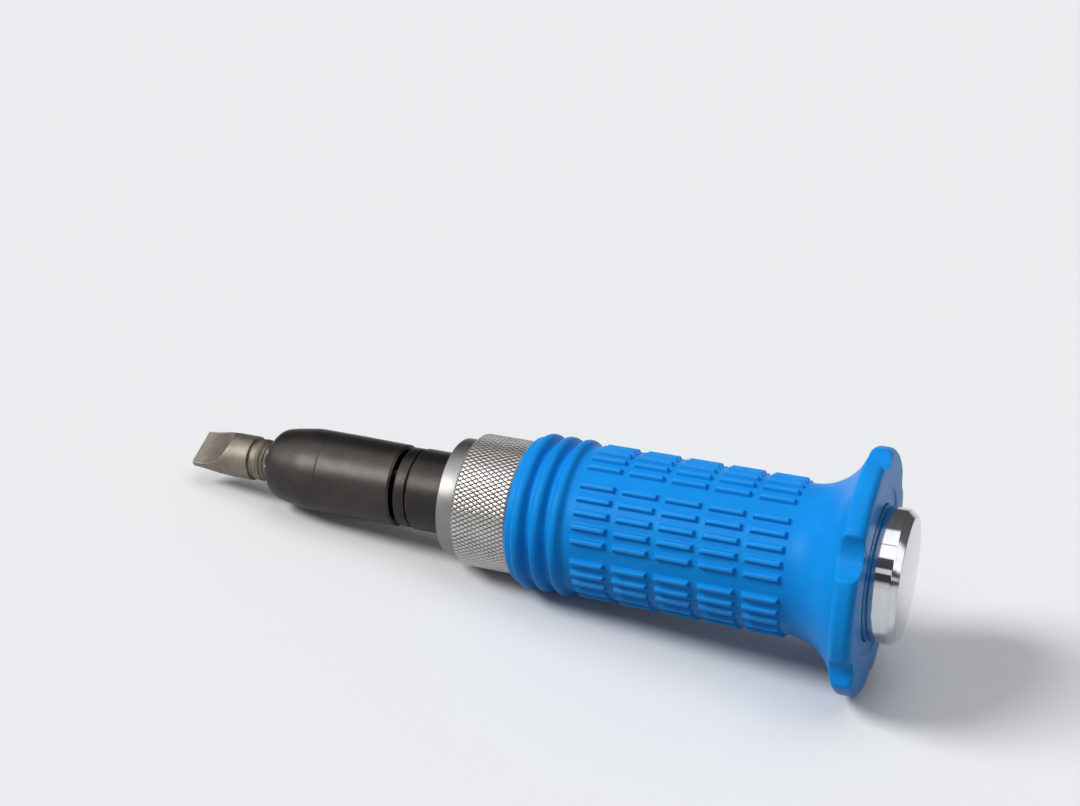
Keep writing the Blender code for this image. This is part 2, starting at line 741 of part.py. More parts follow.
def rib_outline():
    """Up the grip's ribs from its mouth: each rib is rounded, with a narrow valley behind it."""
    points = [(GRIP_MOUTH_R, GRIP)]
    for rib in range(RIB_COUNT):
        crest = GRIP + RIB_FIRST + rib * RIB_PITCH
        for run, rise in RIB_SHARES:
            points.append((GRIP_BASE_R + rise * (RIB_CREST_R - GRIP_BASE_R), crest + run * RIB_PITCH))
    return points


def flare_outline():
    """Up the flare from the grip's cylinder to the guard: part of an ellipse that leaves the cylinder flat."""
    points = []
    for step in range(FLARE_POINTS):
        turn = FLARE_END_TURN * step / (FLARE_POINTS - 1)
        run = math.sin(turn) / math.sin(FLARE_END_TURN)
        rise = (1 - math.cos(turn)) / (1 - math.cos(FLARE_END_TURN))
        points.append((GRIP_BASE_R + rise * (FLARE_END_R - GRIP_BASE_R), FLARE + run * FLARE_LENGTH))
    return points


def guard_outline():
    """Round the guard from its front edge to the recess about the head."""
    front = GUARD_FRONT + GUARD_FRONT_ROUND
    rear = front + GUARD_BAND
    points = [(GUARD_R, front)]
    for step in range(GUARD_ROUND_POINTS + 1):
        turn = math.pi / 2 * step / GUARD_ROUND_POINTS
        points.append(
            (
                GUARD_R - GUARD_REAR_ROUND * (1 - math.cos(turn)),
                rear - GUARD_REAR_ROUND * (1 - math.sin(turn)),
            )
        )
    points.append((GUARD_FACE_R, rear))
    points.append((GUARD_FACE_R - GUARD_RECESS / 2, rear - GUARD_RECESS))
    points.append((GUARD_BORE_R, rear - GUARD_RECESS))
    return points


def grip_outline():
    """The whole grip section: down the outside from the guard to the mouth, and back up the bore."""
    outside = rib_outline() + flare_outline() + guard_outline()
    bore = [(GRIP_BORE_R, GRIP), (GRIP_BORE_R, GRIP_SEAT), (GUARD_BORE_R, GRIP_SEAT)]
    return list(reversed(outside)) + bore


def grip_bars(cutters):
    """The raised bars: columns along the grip, rows round it, in groups centred on the scallops."""
    bm = bmesh.new()
    root_r = GRIP_BASE_R - BAR_ROOT
    height = BAR_HEIGHT + BAR_ROOT
    for group in range(BAR_GROUPS):
        for row in range(BAR_ROWS):
            turn = 2 * math.pi * group / BAR_GROUPS + (row - (BAR_ROWS - 1) / 2) * BAR_ROW_TURN
            for column in range(BAR_COLUMNS):
                station = GRIP + BAR_FIRST + column * BAR_PITCH + BAR_LENGTH / 2
                centre = Vector((-(root_r + height / 2), 0, station))
                size = Matrix.Diagonal((height, BAR_WIDTH, BAR_LENGTH, 1))
                bar = bmesh.ops.create_cube(bm, size=1, matrix=Matrix.Translation(centre) @ size)
                for vert in bar["verts"]:
                    if vert.co.x < centre.x:
                        vert.co.y *= BAR_TOP_SHARE
                        slope = BAR_WIDTH / 2 * (1 - BAR_TOP_SHARE)
                        vert.co.z -= math.copysign(slope, vert.co.z - station)
                bmesh.ops.rotate(bm, verts=bar["verts"], matrix=Matrix.Rotation(turn, 3, "Z"))
    return add_object("grip_bars", mesh_from(bm, "grip_bars"), cutters)


def scallop(index, cutters):
    """A round groove along the axis that bites the guard's edge."""
    half_chord = GUARD_R * math.sin(SCALLOP_HALF_TURN)
    floor = GUARD_R - SCALLOP_DEPTH
    bite = GUARD_R * math.cos(SCALLOP_HALF_TURN) - floor
    radius = (half_chord * half_chord + bite * bite) / (2 * bite)
    out = around(2 * math.pi * index / SCALLOP_COUNT) * (floor + radius)
    low = Vector((0, 0, FLARE))
    high = Vector((0, 0, GUARD_FRONT + GUARD_FRONT_ROUND + GUARD_BAND + OVERRUN))
    return rod(f"scallop_{index}", radius, out + low, out + high, GRIP_STEPS, cutters)


def make_grip(parts, cutters, plastic):
    """Grip sleeve: ribs, rows of bars, flare and scalloped guard in one moulding."""
    grip = turned("grip_sleeve", grip_outline(), GRIP_STEPS, parts)
    boolean(grip, grip_bars(cutters), "UNION")
    for index in range(SCALLOP_COUNT):
        boolean(grip, scallop(index, cutters), "DIFFERENCE")
    return settle(grip, plastic)


def rest_slope():
    """The lie of the tool on a flat floor: the line under its first rib and the guard's cusps.

    The line is the edge of the outline's hull that bridges the middle of the grip.
    """
    cusp_share = math.cos(SCALLOP_HALF_TURN)
    ribs = [(radius, station) for radius, station in rib_outline()]
    guard = [(radius * cusp_share, station) for radius, station in guard_outline()]
    middle = (GRIP + GRIP_SEAT) / 2
    lines = []
    for front_r, front in ribs:
        for rear_r, rear in guard:
            slope = (rear_r - front_r) / (rear - front)
            lines.append((front_r + slope * (middle - front), slope))
    return math.atan(max(lines)[1])


def lay_down(pieces):
    """Tilt the tool to its rest on the floor, centred over the origin."""
    axis = bpy.data.objects.new("tool_axis", None)
    bpy.context.scene.collection.objects.link(axis)
    for piece in pieces:
        piece.parent = axis
    axis.rotation_euler = (0, math.pi / 2 - rest_slope(), 0)
    bpy.context.view_layer.update()
    corners = [piece.matrix_world @ vert.co for piece in pieces for vert in piece.data.vertices]
    low = [min(corner[side] for corner in corners) for side in range(3)]
    high = [max(corner[side] for corner in corners) for side in range(3)]
    axis.location = (-(low[0] + high[0]) / 2, -(low[1] + high[1]) / 2, -low[2])


def main():
    """Build the driver."""
    clear_scene()
    parts = new_collection("hand_impact_driver")
    cutters = new_collection("cutters")
    bit_steel = finish("bit_steel", (0.25, 0.22, 0.19), 0.42, 0.9)
    black_steel = finish("black_steel", (0.035, 0.032, 0.03), 0.38, 0.8)
    bare_steel = finish("bare_steel", (0.55, 0.54, 0.52), 0.3, 1.0)
    knurl_steel = finish("knurled_steel", (0.5, 0.49, 0.47), 0.35, 1.0)
    chrome = finish("chrome", (0.8, 0.8, 0.8), 0.05, 1.0)
    spring_steel = finish("spring_steel", (0.2, 0.2, 0.2), 0.4, 0.9)
    bronze = finish("bronze", (0.6, 0.42, 0.2), 0.4, 1.0)
    rubber = finish("rubber", (0.02, 0.02, 0.02), 0.8, 0.0)
    plastic = finish("blue_plastic", (0.01, 0.22, 0.75), 0.4, 0.0)
    pieces = [
        make_bit(parts, cutters, bit_steel),
        make_holder(parts, cutters, black_steel),
        make_magnet(parts, bare_steel),
        make_spindle(parts, cutters, black_steel),
        *make_detent(parts, bare_steel),
        make_front_ring(parts, bare_steel),
        make_seal(parts, rubber),
        make_collar(parts, knurl_steel),
        make_clip(parts, cutters, spring_steel),
        make_bush(parts, bronze),
        make_barrel(parts, cutters, bare_steel),
        *make_pins(parts, bare_steel),
        *make_thrust_pieces(parts, bronze, bare_steel),
        make_spring(parts, spring_steel),
        make_head(parts, chrome),
        make_o_ring("head_o_ring", HEAD_GROOVE_R, HEAD - HEAD_RING_SETBACK, parts, rubber),
        make_o_ring("collar_o_ring", O_RING_GROOVE_R, GRIP - O_RING_SETBACK, parts, rubber),
        make_grip(parts, cutters, plastic),
    ]
    lay_down(pieces)


main()
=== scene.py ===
"""Looks of the hand impact driver, laid out as an add-on whose panel builds each piece.

Every piece is worked out about the tool's own axis. A point has a radius from that axis,
a turn about it from straight up towards the near side, and a station, which is its
distance along the axis from the tip of the bit. Lengths are metres.
"""

import json
import math

import bmesh
import bpy
import numpy as np
from bpy.props import FloatProperty, FloatVectorProperty, IntProperty, PointerProperty
from mathutils import Matrix, Vector


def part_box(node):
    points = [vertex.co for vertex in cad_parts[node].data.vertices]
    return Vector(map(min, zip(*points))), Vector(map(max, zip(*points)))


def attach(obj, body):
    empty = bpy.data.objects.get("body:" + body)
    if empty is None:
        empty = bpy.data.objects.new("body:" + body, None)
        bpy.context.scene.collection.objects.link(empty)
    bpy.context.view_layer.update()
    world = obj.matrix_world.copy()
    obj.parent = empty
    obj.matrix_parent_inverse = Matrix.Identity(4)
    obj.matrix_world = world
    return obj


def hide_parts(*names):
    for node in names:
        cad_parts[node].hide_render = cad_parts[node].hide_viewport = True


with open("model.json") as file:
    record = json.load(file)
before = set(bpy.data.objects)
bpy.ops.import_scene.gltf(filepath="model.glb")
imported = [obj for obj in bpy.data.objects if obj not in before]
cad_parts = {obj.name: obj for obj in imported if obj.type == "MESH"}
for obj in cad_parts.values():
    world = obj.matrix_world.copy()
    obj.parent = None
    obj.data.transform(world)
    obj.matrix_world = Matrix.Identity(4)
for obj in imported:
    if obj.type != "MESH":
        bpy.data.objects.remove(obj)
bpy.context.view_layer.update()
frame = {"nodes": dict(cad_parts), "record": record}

bl_info = {
    "name": "Hand impact driver",
    "version": (1, 0, 0),
    "blender": (4, 5, 0),
    "location": "3D View > Sidebar > Driver",
    "description": "Builds the pieces and finishes of a hand impact driver round its CAD model",
    "category": "Object",
}

MOUNTS = {mount["name"]: mount for mount in frame["record"]["mounts"]}
TIP = np.array(MOUNTS["blade_tip"]["pos_m"])
AXIS = np.array(MOUNTS["striking_face"]["axis"])
NEAR = np.array((0.0, -1.0, 0.0))
UP = np.cross(NEAR, AXIS)

# Fineness, clearance between pieces, edges marked for wear and a painted highlight, and a step too
# small to show
COLUMNS = 240
ARC_STEPS = 6
SHARP_ANGLE = math.radians(32)
WELD = 0.0000004
GAP = 0.0003
EDGE_WEAR_AND_HIGHLIGHT = 0.0002
WIDE_WEAR_AND_HIGHLIGHT = 0.0003
EDGE_BAND = 0.0005
STEP = 0.0001

# Slotted bit
BIT_HEX = 0.008
BIT_HEX_ROUND = 0.00016
BIT_HEX_CHAMFER = 0.0006
BIT_BODY_R = 0.00575
BIT_GROOVE = 0.017
BIT_GROOVE_WIDTH = 0.0013
BIT_GROOVE_DEPTH = 0.0009
BIT_RIDGE_R = 0.0053
BIT_RIDGE_PITCH = 0.00095
BIT_RIDGE_HEIGHT = 0.00013
BIT_END_R = 0.0042
BIT_CONE_LENGTH = 0.0036
BLADE_WIDTH = 0.0104
BLADE_THICKNESS = 0.0016
BLADE_FLAT = 0.0008
BLADE_GROUND = 0.0112
BLADE_BREAK = 0.00014
BLADE_TURN = math.radians(121)
BLADE_LEAST_TURN = 0.12
BLADE_ROWS = 46
BLADE_COLUMNS = 25
BIT_BODY_COLUMNS = 41
BIT_CONE_ROWS = 44
BIT_PLAIN_SHORT = 0.0006
BIT_LENGTH_ROWS = 12
BIT_FILLETS = (0.0003, 0.0003, 0.0002)
BIT_EDGE_WEAR_AND_HIGHLIGHT = 0.00018
BIT_LAP = 0.0005
LEAST_COSINE = 0.001

# Bit holder
NOSE_KNOTS = ((0.0, 0.0054), (0.00041, 0.006), (0.00119, 0.0074), (0.00221, 0.0085))
CHEEK_KNOTS = ((0.0034, 0.0091), (0.0081, 0.00997))
BELLY_KNOTS = ((0.0128, 0.0105), (0.0174, 0.0105), (0.0381, 0.0103))
HOLDER_SETBACK = 0.0004
HOLDER_REAR_SETBACK = 0.0003
HOLDER_EDGE = 0.0005
HOLDER_LINE = 0.0168
HOLDER_LINE_HALF = 0.00013
HOLDER_LINE_DEPTH = 0.00007
SOCKET_MOUTH_R = 0.00522
SOCKET_SLOPE = 1.1
SEAT_R = 0.0041
SEAT_LENGTH = 0.0033
SQUARE_MOUTH_R = 0.0095
MOUTH_LENGTH = 0.0012
SQUARE_MOUTH_LENGTH = 0.0008
NOSE_ROWS = 22
BELLY_GAP = 0.0003
BELLY_ROWS = 26
LINE_ROWS = 19
TAIL_GAP = 0.0004
TAIL_ROWS = 14
TAIL_WEAR_AND_HIGHLIGHT = 0.00025
TAIL_BAND = 0.0008
NOSE_WEAR_AND_HIGHLIGHT = 0.0004
NOSE_BAND = 0.0002

# Spindle
DRIVE_SQUARE = 0.0127
DRIVE_LENGTH = 0.0157
DRIVE_CORNER_R = 0.0082
DRIVE_CHAMFER = 0.0009
DRIVE_ROOT = 0.001
SHOULDER_R = 0.00995
SHOULDER_LENGTH = 0.003
NECK_GROOVE = 0.0007
NECK_GROOVE_DEPTH = 0.0009
NECK_R = 0.0102
CAM_R = 0.0116
CAM_LENGTH = 0.0277
CAM_BORE_R = 0.0055
CAM_BORE_DEPTH = 0.0222
PIN_SETBACK = 0.010
PIN_CLEAR_R = 0.0033
STROKE = 0.006
CAM_TWIST = math.radians(20)
CAM_PLAY = math.radians(6)
WINDOW_SLOPE_SHARE = 1.3
DRIVE_PLAIN = (0.002, 0.0145)
DRIVE_ROWS = 64
SPINDLE_FILLETS = (0.00035, 0.00025, 0.0001, 0.0001, 0.0002, 0.0006, 0.0004, 0.0, 0.0)
CAM_TAIL_FILLETS = (0.0, 0.0004)
WEB_COLUMNS = 16

# Front ring and collar
RING_FILLETS = (0.0002, 0.00035, 0.0002, 0.0001)
SEAL_SEAT_R = 0.0122
SEAL_SEAT_DEPTH = 0.0024
COLLAR_EDGE = 0.00045
COLLAR_FLANGE = 0.0017
COLLAR_BORE_R = 0.0144
COLLAR_FILLETS = (0.0002, 0.0, 0.0, 0.0002)
KNURL_ROWS = 7
KNURL_FINENESS = 3
KNURL_AWAY = (0.0, 1 / 6, 1 / 3, 0.5)
KNURL_SHARES = (1.0, 0.2, 0.03, 0.0)

# Grip sleeve with its hand guard
GRIP_BORE_R = 0.0153
GRIP_BASE_R = 0.0176
GRIP_LIP = ((0.0167, 0.0), (0.0179, 0.0), (0.0181, 0.0016), (0.01808, 0.00172))
GRIP_LIP_FILLETS = (0.0006, 0.0001)
RIB_CRESTS = (0.0027, 0.00735, 0.012)
RIB_GROOVE_KNOTS = ((-0.0021, 0.0173), (-0.0013, 0.01745), (-0.0009, 0.018))
RIB_EDGE_KNOTS = ((-0.00065, 0.01862), (-0.00045, 0.01887))
RIB_CREST_KNOTS = ((0.0, 0.019), (0.0009, 0.0189), (0.0016, 0.0183))
RIB_FALL_KNOTS = ((0.00205, 0.0176), (0.0024, 0.01735))
RIB_FADE_KNOTS = ((0.0021, 0.0178), (0.0026, 0.01763), (0.0034, 0.0176))
RIB_ROWS = 54
BAR_GROUPS = 6
BAR_ROWS = 5
BAR_COLUMNS = 5
BAR_FIRST = 0.0164
BAR_LEAD = 0.0004
BAR_TRAIL = 0.0002
BAR_PITCH = 0.01025
BAR_LENGTH = 0.0086
BAR_WIDTH = 0.0017
BAR_ROW_TURN = math.radians(10.63)
BAR_SIDE_RUNS = (-0.00012, 0.00003, 0.00018, 0.00034, 0.00048, 0.00064)
BAR_SIDE_SHARES = (0.0, 0.06, 0.42, 0.8, 0.95, 1.0)
FLARE_FIRST = 0.067
FLARE_LENGTH = 0.0122
FLARE_TURN = math.radians(70)
FLARE_STEPS = 22
GUARD_R = 0.0284
GUARD_FRONT_ROUND = 0.0017
GUARD_BAND = 0.0035
GUARD_REAR_ROUND = 0.002
GUARD_FACE_R = 0.0196
GUARD_RECESS = 0.0004
GUARD_BORE_R = 0.0158
GUARD_FILLETS = (0.0007, 0.0005, 0.0003, 0.0, 0.0, 0.0002)
GRIP_SEAT = 0.0776
SCALLOP_COUNT = 6
SCALLOP_HALF_TURN = math.radians(9.5)
SCALLOP_DEPTH = 0.003
SCALLOP_BLEND = 0.0005
SCALLOP_LEAST_R = 0.0225

# Striking head
HEAD_R = 0.0155
HEAD_FACE_R = 0.0141
HEAD_CHAMFER = 0.0018
HEAD_VISIBLE = 0.0132
HEAD_EDGE = 0.0001
HEAD_SPIGOT_R = 0.0116
HEAD_GROOVE = 0.004
HEAD_GROOVE_HALF = 0.0008
HEAD_GROOVE_R = 0.0103
HEAD_FILLETS = (0.0005, 0.0001, 0.0001, 0.0001, 0.0001, 0.0, 0.0002, 0.00025, 0.00035)

# Detent
BALL_ROWS = 34
BALL_COLUMNS = 48
DETENT_R = 0.0024
DETENT_DIMPLE_R = 0.00125
DETENT_DIMPLE = 0.00022


# Shapes


def unit(vector):
    """The vector at length one."""
    return vector / np.linalg.norm(vector)


def place(radius, turn, station):
    """Points of the tool: tip + axis * station + radius * (up * cos(turn) + near * sin(turn))."""
    radius, turn, station = np.broadcast_arrays(radius, turn, station)
    out = np.cos(turn)[..., None] * UP + np.sin(turn)[..., None] * NEAR
    return TIP + station[..., None] * AXIS + radius[..., None] * out


def span(node):
    """The front station, the rear station and the largest radius of a CAD node."""
    mesh = frame["nodes"][node].data
    points = np.empty(3 * len(mesh.vertices))
    mesh.vertices.foreach_get("co", points)
    away = points.reshape(-1, 3) - TIP
    stations = away @ AXIS
    radii = np.linalg.norm(away - stations[:, None] * AXIS, axis=1)
    return stations.min(), stations.max(), radii.max()


def rounded(corners, fillets, steps=ARC_STEPS):
    """An outline through corners, each turned into an arc of its own radius, or kept at zero.

    An arc touches both sides at radius / tan(half the corner's angle) from the corner. Its
    centre lies on the bisector at radius / sin(half the angle), and its points are the
    start and end arms mixed by sin((1 - t) * sweep) and sin(t * sweep).
    """
    corners = np.asarray(corners, float)
    lines = [corners[:1]]
    share = np.linspace(0, 1, steps)[:, None]
    for before, corner, after, fillet in zip(corners, corners[1:], corners[2:], fillets):
        if fillet == 0:
            lines.append(corner[None])
            continue
        back = unit(before - corner)
        onward = unit(after - corner)
        half = math.acos(np.clip(back @ onward, -1, 1)) / 2
        centre = corner + unit(back + onward) * fillet / math.sin(half)
        start = corner + back * fillet / math.tan(half) - centre
        end = corner + onward * fillet / math.tan(half) - centre
        sweep = math.pi - 2 * half
        arms = np.sin((1 - share) * sweep) * start + np.sin(share * sweep) * end
        lines.append(centre + arms / math.sin(sweep))
    lines.append(corners[-1:])
    return np.concatenate(lines)


def eased(knots, places):
    """Values of a smooth curve through (place, value) knots that never overshoots them.

    Each stretch is the cubic set by its end values and slopes. An inner knot's slope is
    the harmonic mean of the slopes beside it, or zero where they differ in sign.
    """
    x, y = np.asarray(knots, float).T
    rise = np.diff(y) / np.diff(x)
    same = rise[1:] * rise[:-1] > 0
    total = np.where(same, rise[1:] + rise[:-1], 1)
    inner = np.where(same, 2 * rise[1:] * rise[:-1] / total, 0)
    slope = np.concatenate([rise[:1], inner, rise[-1:]])
    cell = np.clip(np.searchsorted(x, places) - 1, 0, len(x) - 2)
    width = x[cell + 1] - x[cell]
    t = (places - x[cell]) / width
    start = y[cell] * (1 + 2 * t) * (1 - t) ** 2 + slope[cell] * width * t * (1 - t) ** 2
    end = y[cell + 1] * t**2 * (3 - 2 * t) + slope[cell + 1] * width * t**2 * (t - 1)
    return start + end


def polygon_radius(turn, sides, across_flats):
    """A regular section's radius, one flat facing up: half the flats / cos(turn from a flat)."""
    step = 2 * math.pi / sides
    return across_flats / 2 / np.cos((turn + step / 2) % step - step / 2)


def even_turns(count=COLUMNS):
    """Turns spread evenly once about the axis, as one row."""
    return np.linspace(0, 2 * math.pi, count, endpoint=False)[None]


class Skin:
    """Points and faces of one piece, gathered surface by surface, and each point's mark for wear and
    painted light.
    """

    def __init__(self):
        self.points = []
        self.wear = []
        self.quads = [np.empty((0, 4), int)]
        self.triangles = [np.empty((0, 3), int)]
        self.count = 0

    def keep(self, points, wear):
        """Store points, and return the number of the first."""
        first = self.count
        flat = points.reshape(-1, 3)
        self.points.append(flat)
        self.wear.append(np.broadcast_to(wear, points.shape[:-1]).reshape(-1))
        self.count += len(flat)
        return first

    def grid(self, points, loop=False, poles=None, wear=0.0):
        """A grid of points whose rows close on themselves, from front to rear outside.

        With a loop the last row joins the first. With poles, two stations, each end closes
        at a point on the axis.
        """
        rows, columns = points.shape[:2]
        first = self.keep(points, wear)
        row = np.arange(rows if loop else rows - 1)[:, None]
        column = np.arange(columns)[None]
        after = (column + 1) % columns
        below = (row + 1) % rows
        corners = [row * columns + column, row * columns + after]
        corners += [below * columns + after, below * columns + column]
        self.quads.append(first + np.stack(np.broadcast_arrays(*corners), -1).reshape(-1, 4))
        if poles is not None:
            ends = place(0.0, 0.0, np.array(poles))
            front = self.keep(ends, 0.0)
            last = first + (rows - 1) * columns
            around, following = column[0], after[0]
            fans = [(front, first + following, first + around)]
            fans += [(front + 1, last + around, last + following)]
            self.triangles += [np.stack(np.broadcast_arrays(*fan), -1) for fan in fans]

    def cap(self, ring, front):
        """Close a flat ring of points with strips from its first half to its second, run back."""
        first = self.keep(ring, 0.0)
        here = np.arange(len(ring) // 2 - 1)
        there = len(ring) - 1 - here
        strip = [here, there, there - 1, here + 1]
        if not front:
            strip = [here, here + 1, there - 1, there]
        self.quads.append(first + np.stack(strip, -1))

    def crossed(self, corners, middles, wear, middle_mark):
        """A grid whose rows close on themselves, each cell cut into four triangles."""
        rows, columns = corners.shape[:2]
        first = self.keep(corners, wear)
        middle = self.keep(middles, middle_mark)
        row = np.arange(rows - 1)[:, None]
        column = np.arange(columns)[None]
        after = (column + 1) % columns
        ring = [row * columns + column, row * columns + after]
        ring += [(row + 1) * columns + after, (row + 1) * columns + column]
        centre = middle + row * columns + column
        for start, end in zip(ring, ring[1:] + ring[:1]):
            self.triangles.append(np.stack([first + start, first + end, centre], -1).reshape(-1, 3))

    def mesh(self, name):
        """The gathered surfaces as one mesh, with shared edges joined and each point's mark as an
        attribute.
        """
        points = np.concatenate(self.points)
        quads = np.concatenate(self.quads)
        triangles = np.concatenate(self.triangles)
        sizes = np.concatenate([np.full(len(quads), 4), np.full(len(triangles), 3)])
        made = bpy.data.meshes.new(name)
        made.vertices.add(len(points))
        made.vertices.foreach_set("co", points.ravel())
        made.loops.add(int(sizes.sum()))
        made.loops.foreach_set("vertex_index", np.concatenate([quads.ravel(), triangles.ravel()]))
        made.polygons.add(len(sizes))
        made.polygons.foreach_set("loop_start", np.concatenate([[0], np.cumsum(sizes)[:-1]]))
        made.update(calc_edges=True)
        # Finishes read this mark as wear with a painted highlight at edges, a painted highlight on bar
        # tops and painted shade in knurl grooves.
        wear = made.attributes.new("wear", "FLOAT", "POINT")
        wear.data.foreach_set("value", np.concatenate(self.wear).astype(np.float32))
        joined = bmesh.new()
        joined.from_mesh(made)
        bmesh.ops.remove_doubles(joined, verts=joined.verts, dist=WELD)
        joined.to_mesh(made)
        joined.free()
        made.shade_smooth()
        made.set_sharp_from_angle(angle=SHARP_ANGLE)
        return made


def ring_band(stations, centre, half=EDGE_WEAR_AND_HIGHLIGHT):
    """One at a station, fading to nothing over a half width: exp(-(distance / half)^2)."""
    return np.exp(-(((stations - centre) / half) ** 2))


def bit_outline(ridge, end):
    """The turned outline of the bit's body from its tip, as stations and radii."""
    groove = BIT_GROOVE
    groove_r = BIT_BODY_R - BIT_GROOVE_DEPTH
    corners = [
        (BIT_BODY_R, BLADE_GROUND),
        (BIT_BODY_R, groove),
        (groove_r, groove + BIT_GROOVE_DEPTH / 4),
        (groove_r, ridge),
        (BIT_RIDGE_R, ridge),
    ]
    turned = rounded(corners, BIT_FILLETS)
    ground = np.linspace(BLADE_FLAT, BLADE_GROUND, BLADE_ROWS)[:-1]
    ground = np.concatenate([[0, BLADE_BREAK], ground])
    ground_r = BLADE_WIDTH / 2 + (BIT_BODY_R - BLADE_WIDTH / 2) * ground / BLADE_GROUND
    ground_r[0] -= BLADE_BREAK
    plain = np.linspace(BLADE_GROUND, groove - BIT_PLAIN_SHORT, BIT_LENGTH_ROWS)[1:]
    coarse = np.linspace(ridge + STEP, end - STEP, BIT_CONE_ROWS)
    cone = ((ridge, BIT_RIDGE_R), ((ridge + end) / 2, BIT_RIDGE_R), (end, BIT_END_R))
    tapered = np.interp(coarse, *zip(*cone))
    stations = np.concatenate([ground, [BLADE_GROUND], plain, turned[1:, 1], coarse])
    radii = [ground_r, [BIT_BODY_R], 0 * plain + BIT_BODY_R, turned[1:, 0], tapered]
    return stations, np.concatenate(radii)


def blade_half(stations):
    """Half the blade's thickness between its hollow-ground flats.

    It is half the tip's thickness + R - sqrt(R^2 - run^2), R being the grinding wheel's radius.
    """
    rise = BIT_BODY_R - BLADE_THICKNESS / 2
    run = BLADE_GROUND - BLADE_FLAT
    wheel = (run**2 + rise**2) / (2 * rise)
    past = np.clip(stations - BLADE_FLAT, 0, wheel)
    half = BLADE_THICKNESS / 2 + wheel - np.sqrt(wheel**2 - past**2)
    half[0] -= BLADE_BREAK
    return half


def bit_skin():
    """The slotted bit: a turned body cut by two flats, a rough cone, and a hexagon shank.

    The section at a station is the smaller of the body's radius and
    half thickness / |cos(turn from the flat's normal)|. The cone's ridges add
    height * (sin(p + t + 0.6 sin(2 t)) + 0.35 sin(2.7 p + 3 t)), p being the phase along the
    axis and t the turn, and fade out at both ends.
    """
    _, rear, _ = span("slotted_bit")
    ridge = BIT_GROOVE + BIT_GROOVE_WIDTH
    end = ridge + BIT_CONE_LENGTH
    stations, radii = bit_outline(ridge, end)
    half = blade_half(stations)
    stations, radii, half = stations[:, None], radii[:, None], half[:, None]
    edge = np.maximum(np.arccos(np.minimum(half / radii, 1)), BLADE_LEAST_TURN)
    across = np.linspace(-1, 1, BLADE_COLUMNS)[None, :-1]
    flat = np.arctan(across * np.tan(edge))
    curve = edge + (math.pi - 2 * edge) * np.linspace(0, 1, BIT_BODY_COLUMNS)[None, :-1]
    from_normal = np.concatenate([flat, curve, flat + math.pi, curve + math.pi], 1)
    bound = half / np.maximum(np.abs(np.cos(from_normal)), LEAST_COSINE)
    radius = np.minimum(radii, bound)
    turn = from_normal + BLADE_TURN + math.pi / 2
    rough = (stations > ridge) * np.sin(math.pi * np.clip((stations - ridge) / (end - ridge), 0, 1))
    phase = 2 * math.pi * stations / BIT_RIDGE_PITCH
    wave = np.sin(phase + turn + 0.6 * np.sin(2 * turn)) + 0.35 * np.sin(2.7 * phase + 3 * turn)
    radius = radius + BIT_RIDGE_HEIGHT * rough * wave
    # The blade's edges, the groove's rim and the tip are marked to be lightened: wear and a painted
    # highlight.
    near_edge = np.exp(-np.abs(radii - bound) / BIT_EDGE_WEAR_AND_HIGHLIGHT) * (stations < BLADE_GROUND)
    wear = np.maximum(near_edge, 0.5 * ring_band(stations, BIT_GROOVE))
    wear = np.maximum(wear, ring_band(stations, 0))
    skin = Skin()
    skin.grid(place(radius, turn, stations), poles=(0.0, end), wear=wear)
    turn = even_turns()
    low = end - BIT_LAP
    chamfer = rear - BIT_HEX_CHAMFER
    shank = np.concatenate([np.linspace(low, chamfer, BIT_LENGTH_ROWS), [rear]])[:, None]
    corner = BIT_HEX / 2 / math.cos(math.pi / 6)
    limit = np.interp(shank, (chamfer, rear), (corner - BIT_HEX_ROUND, corner - BIT_HEX_CHAMFER))
    radius = np.minimum(polygon_radius(turn, 6, BIT_HEX), limit)
    wear = np.clip((radius - BIT_HEX / 2) / (corner - BIT_HEX / 2), 0, 1) ** 6
    skin.grid(place(radius, turn, shank), poles=(low, rear), wear=wear)
    return skin


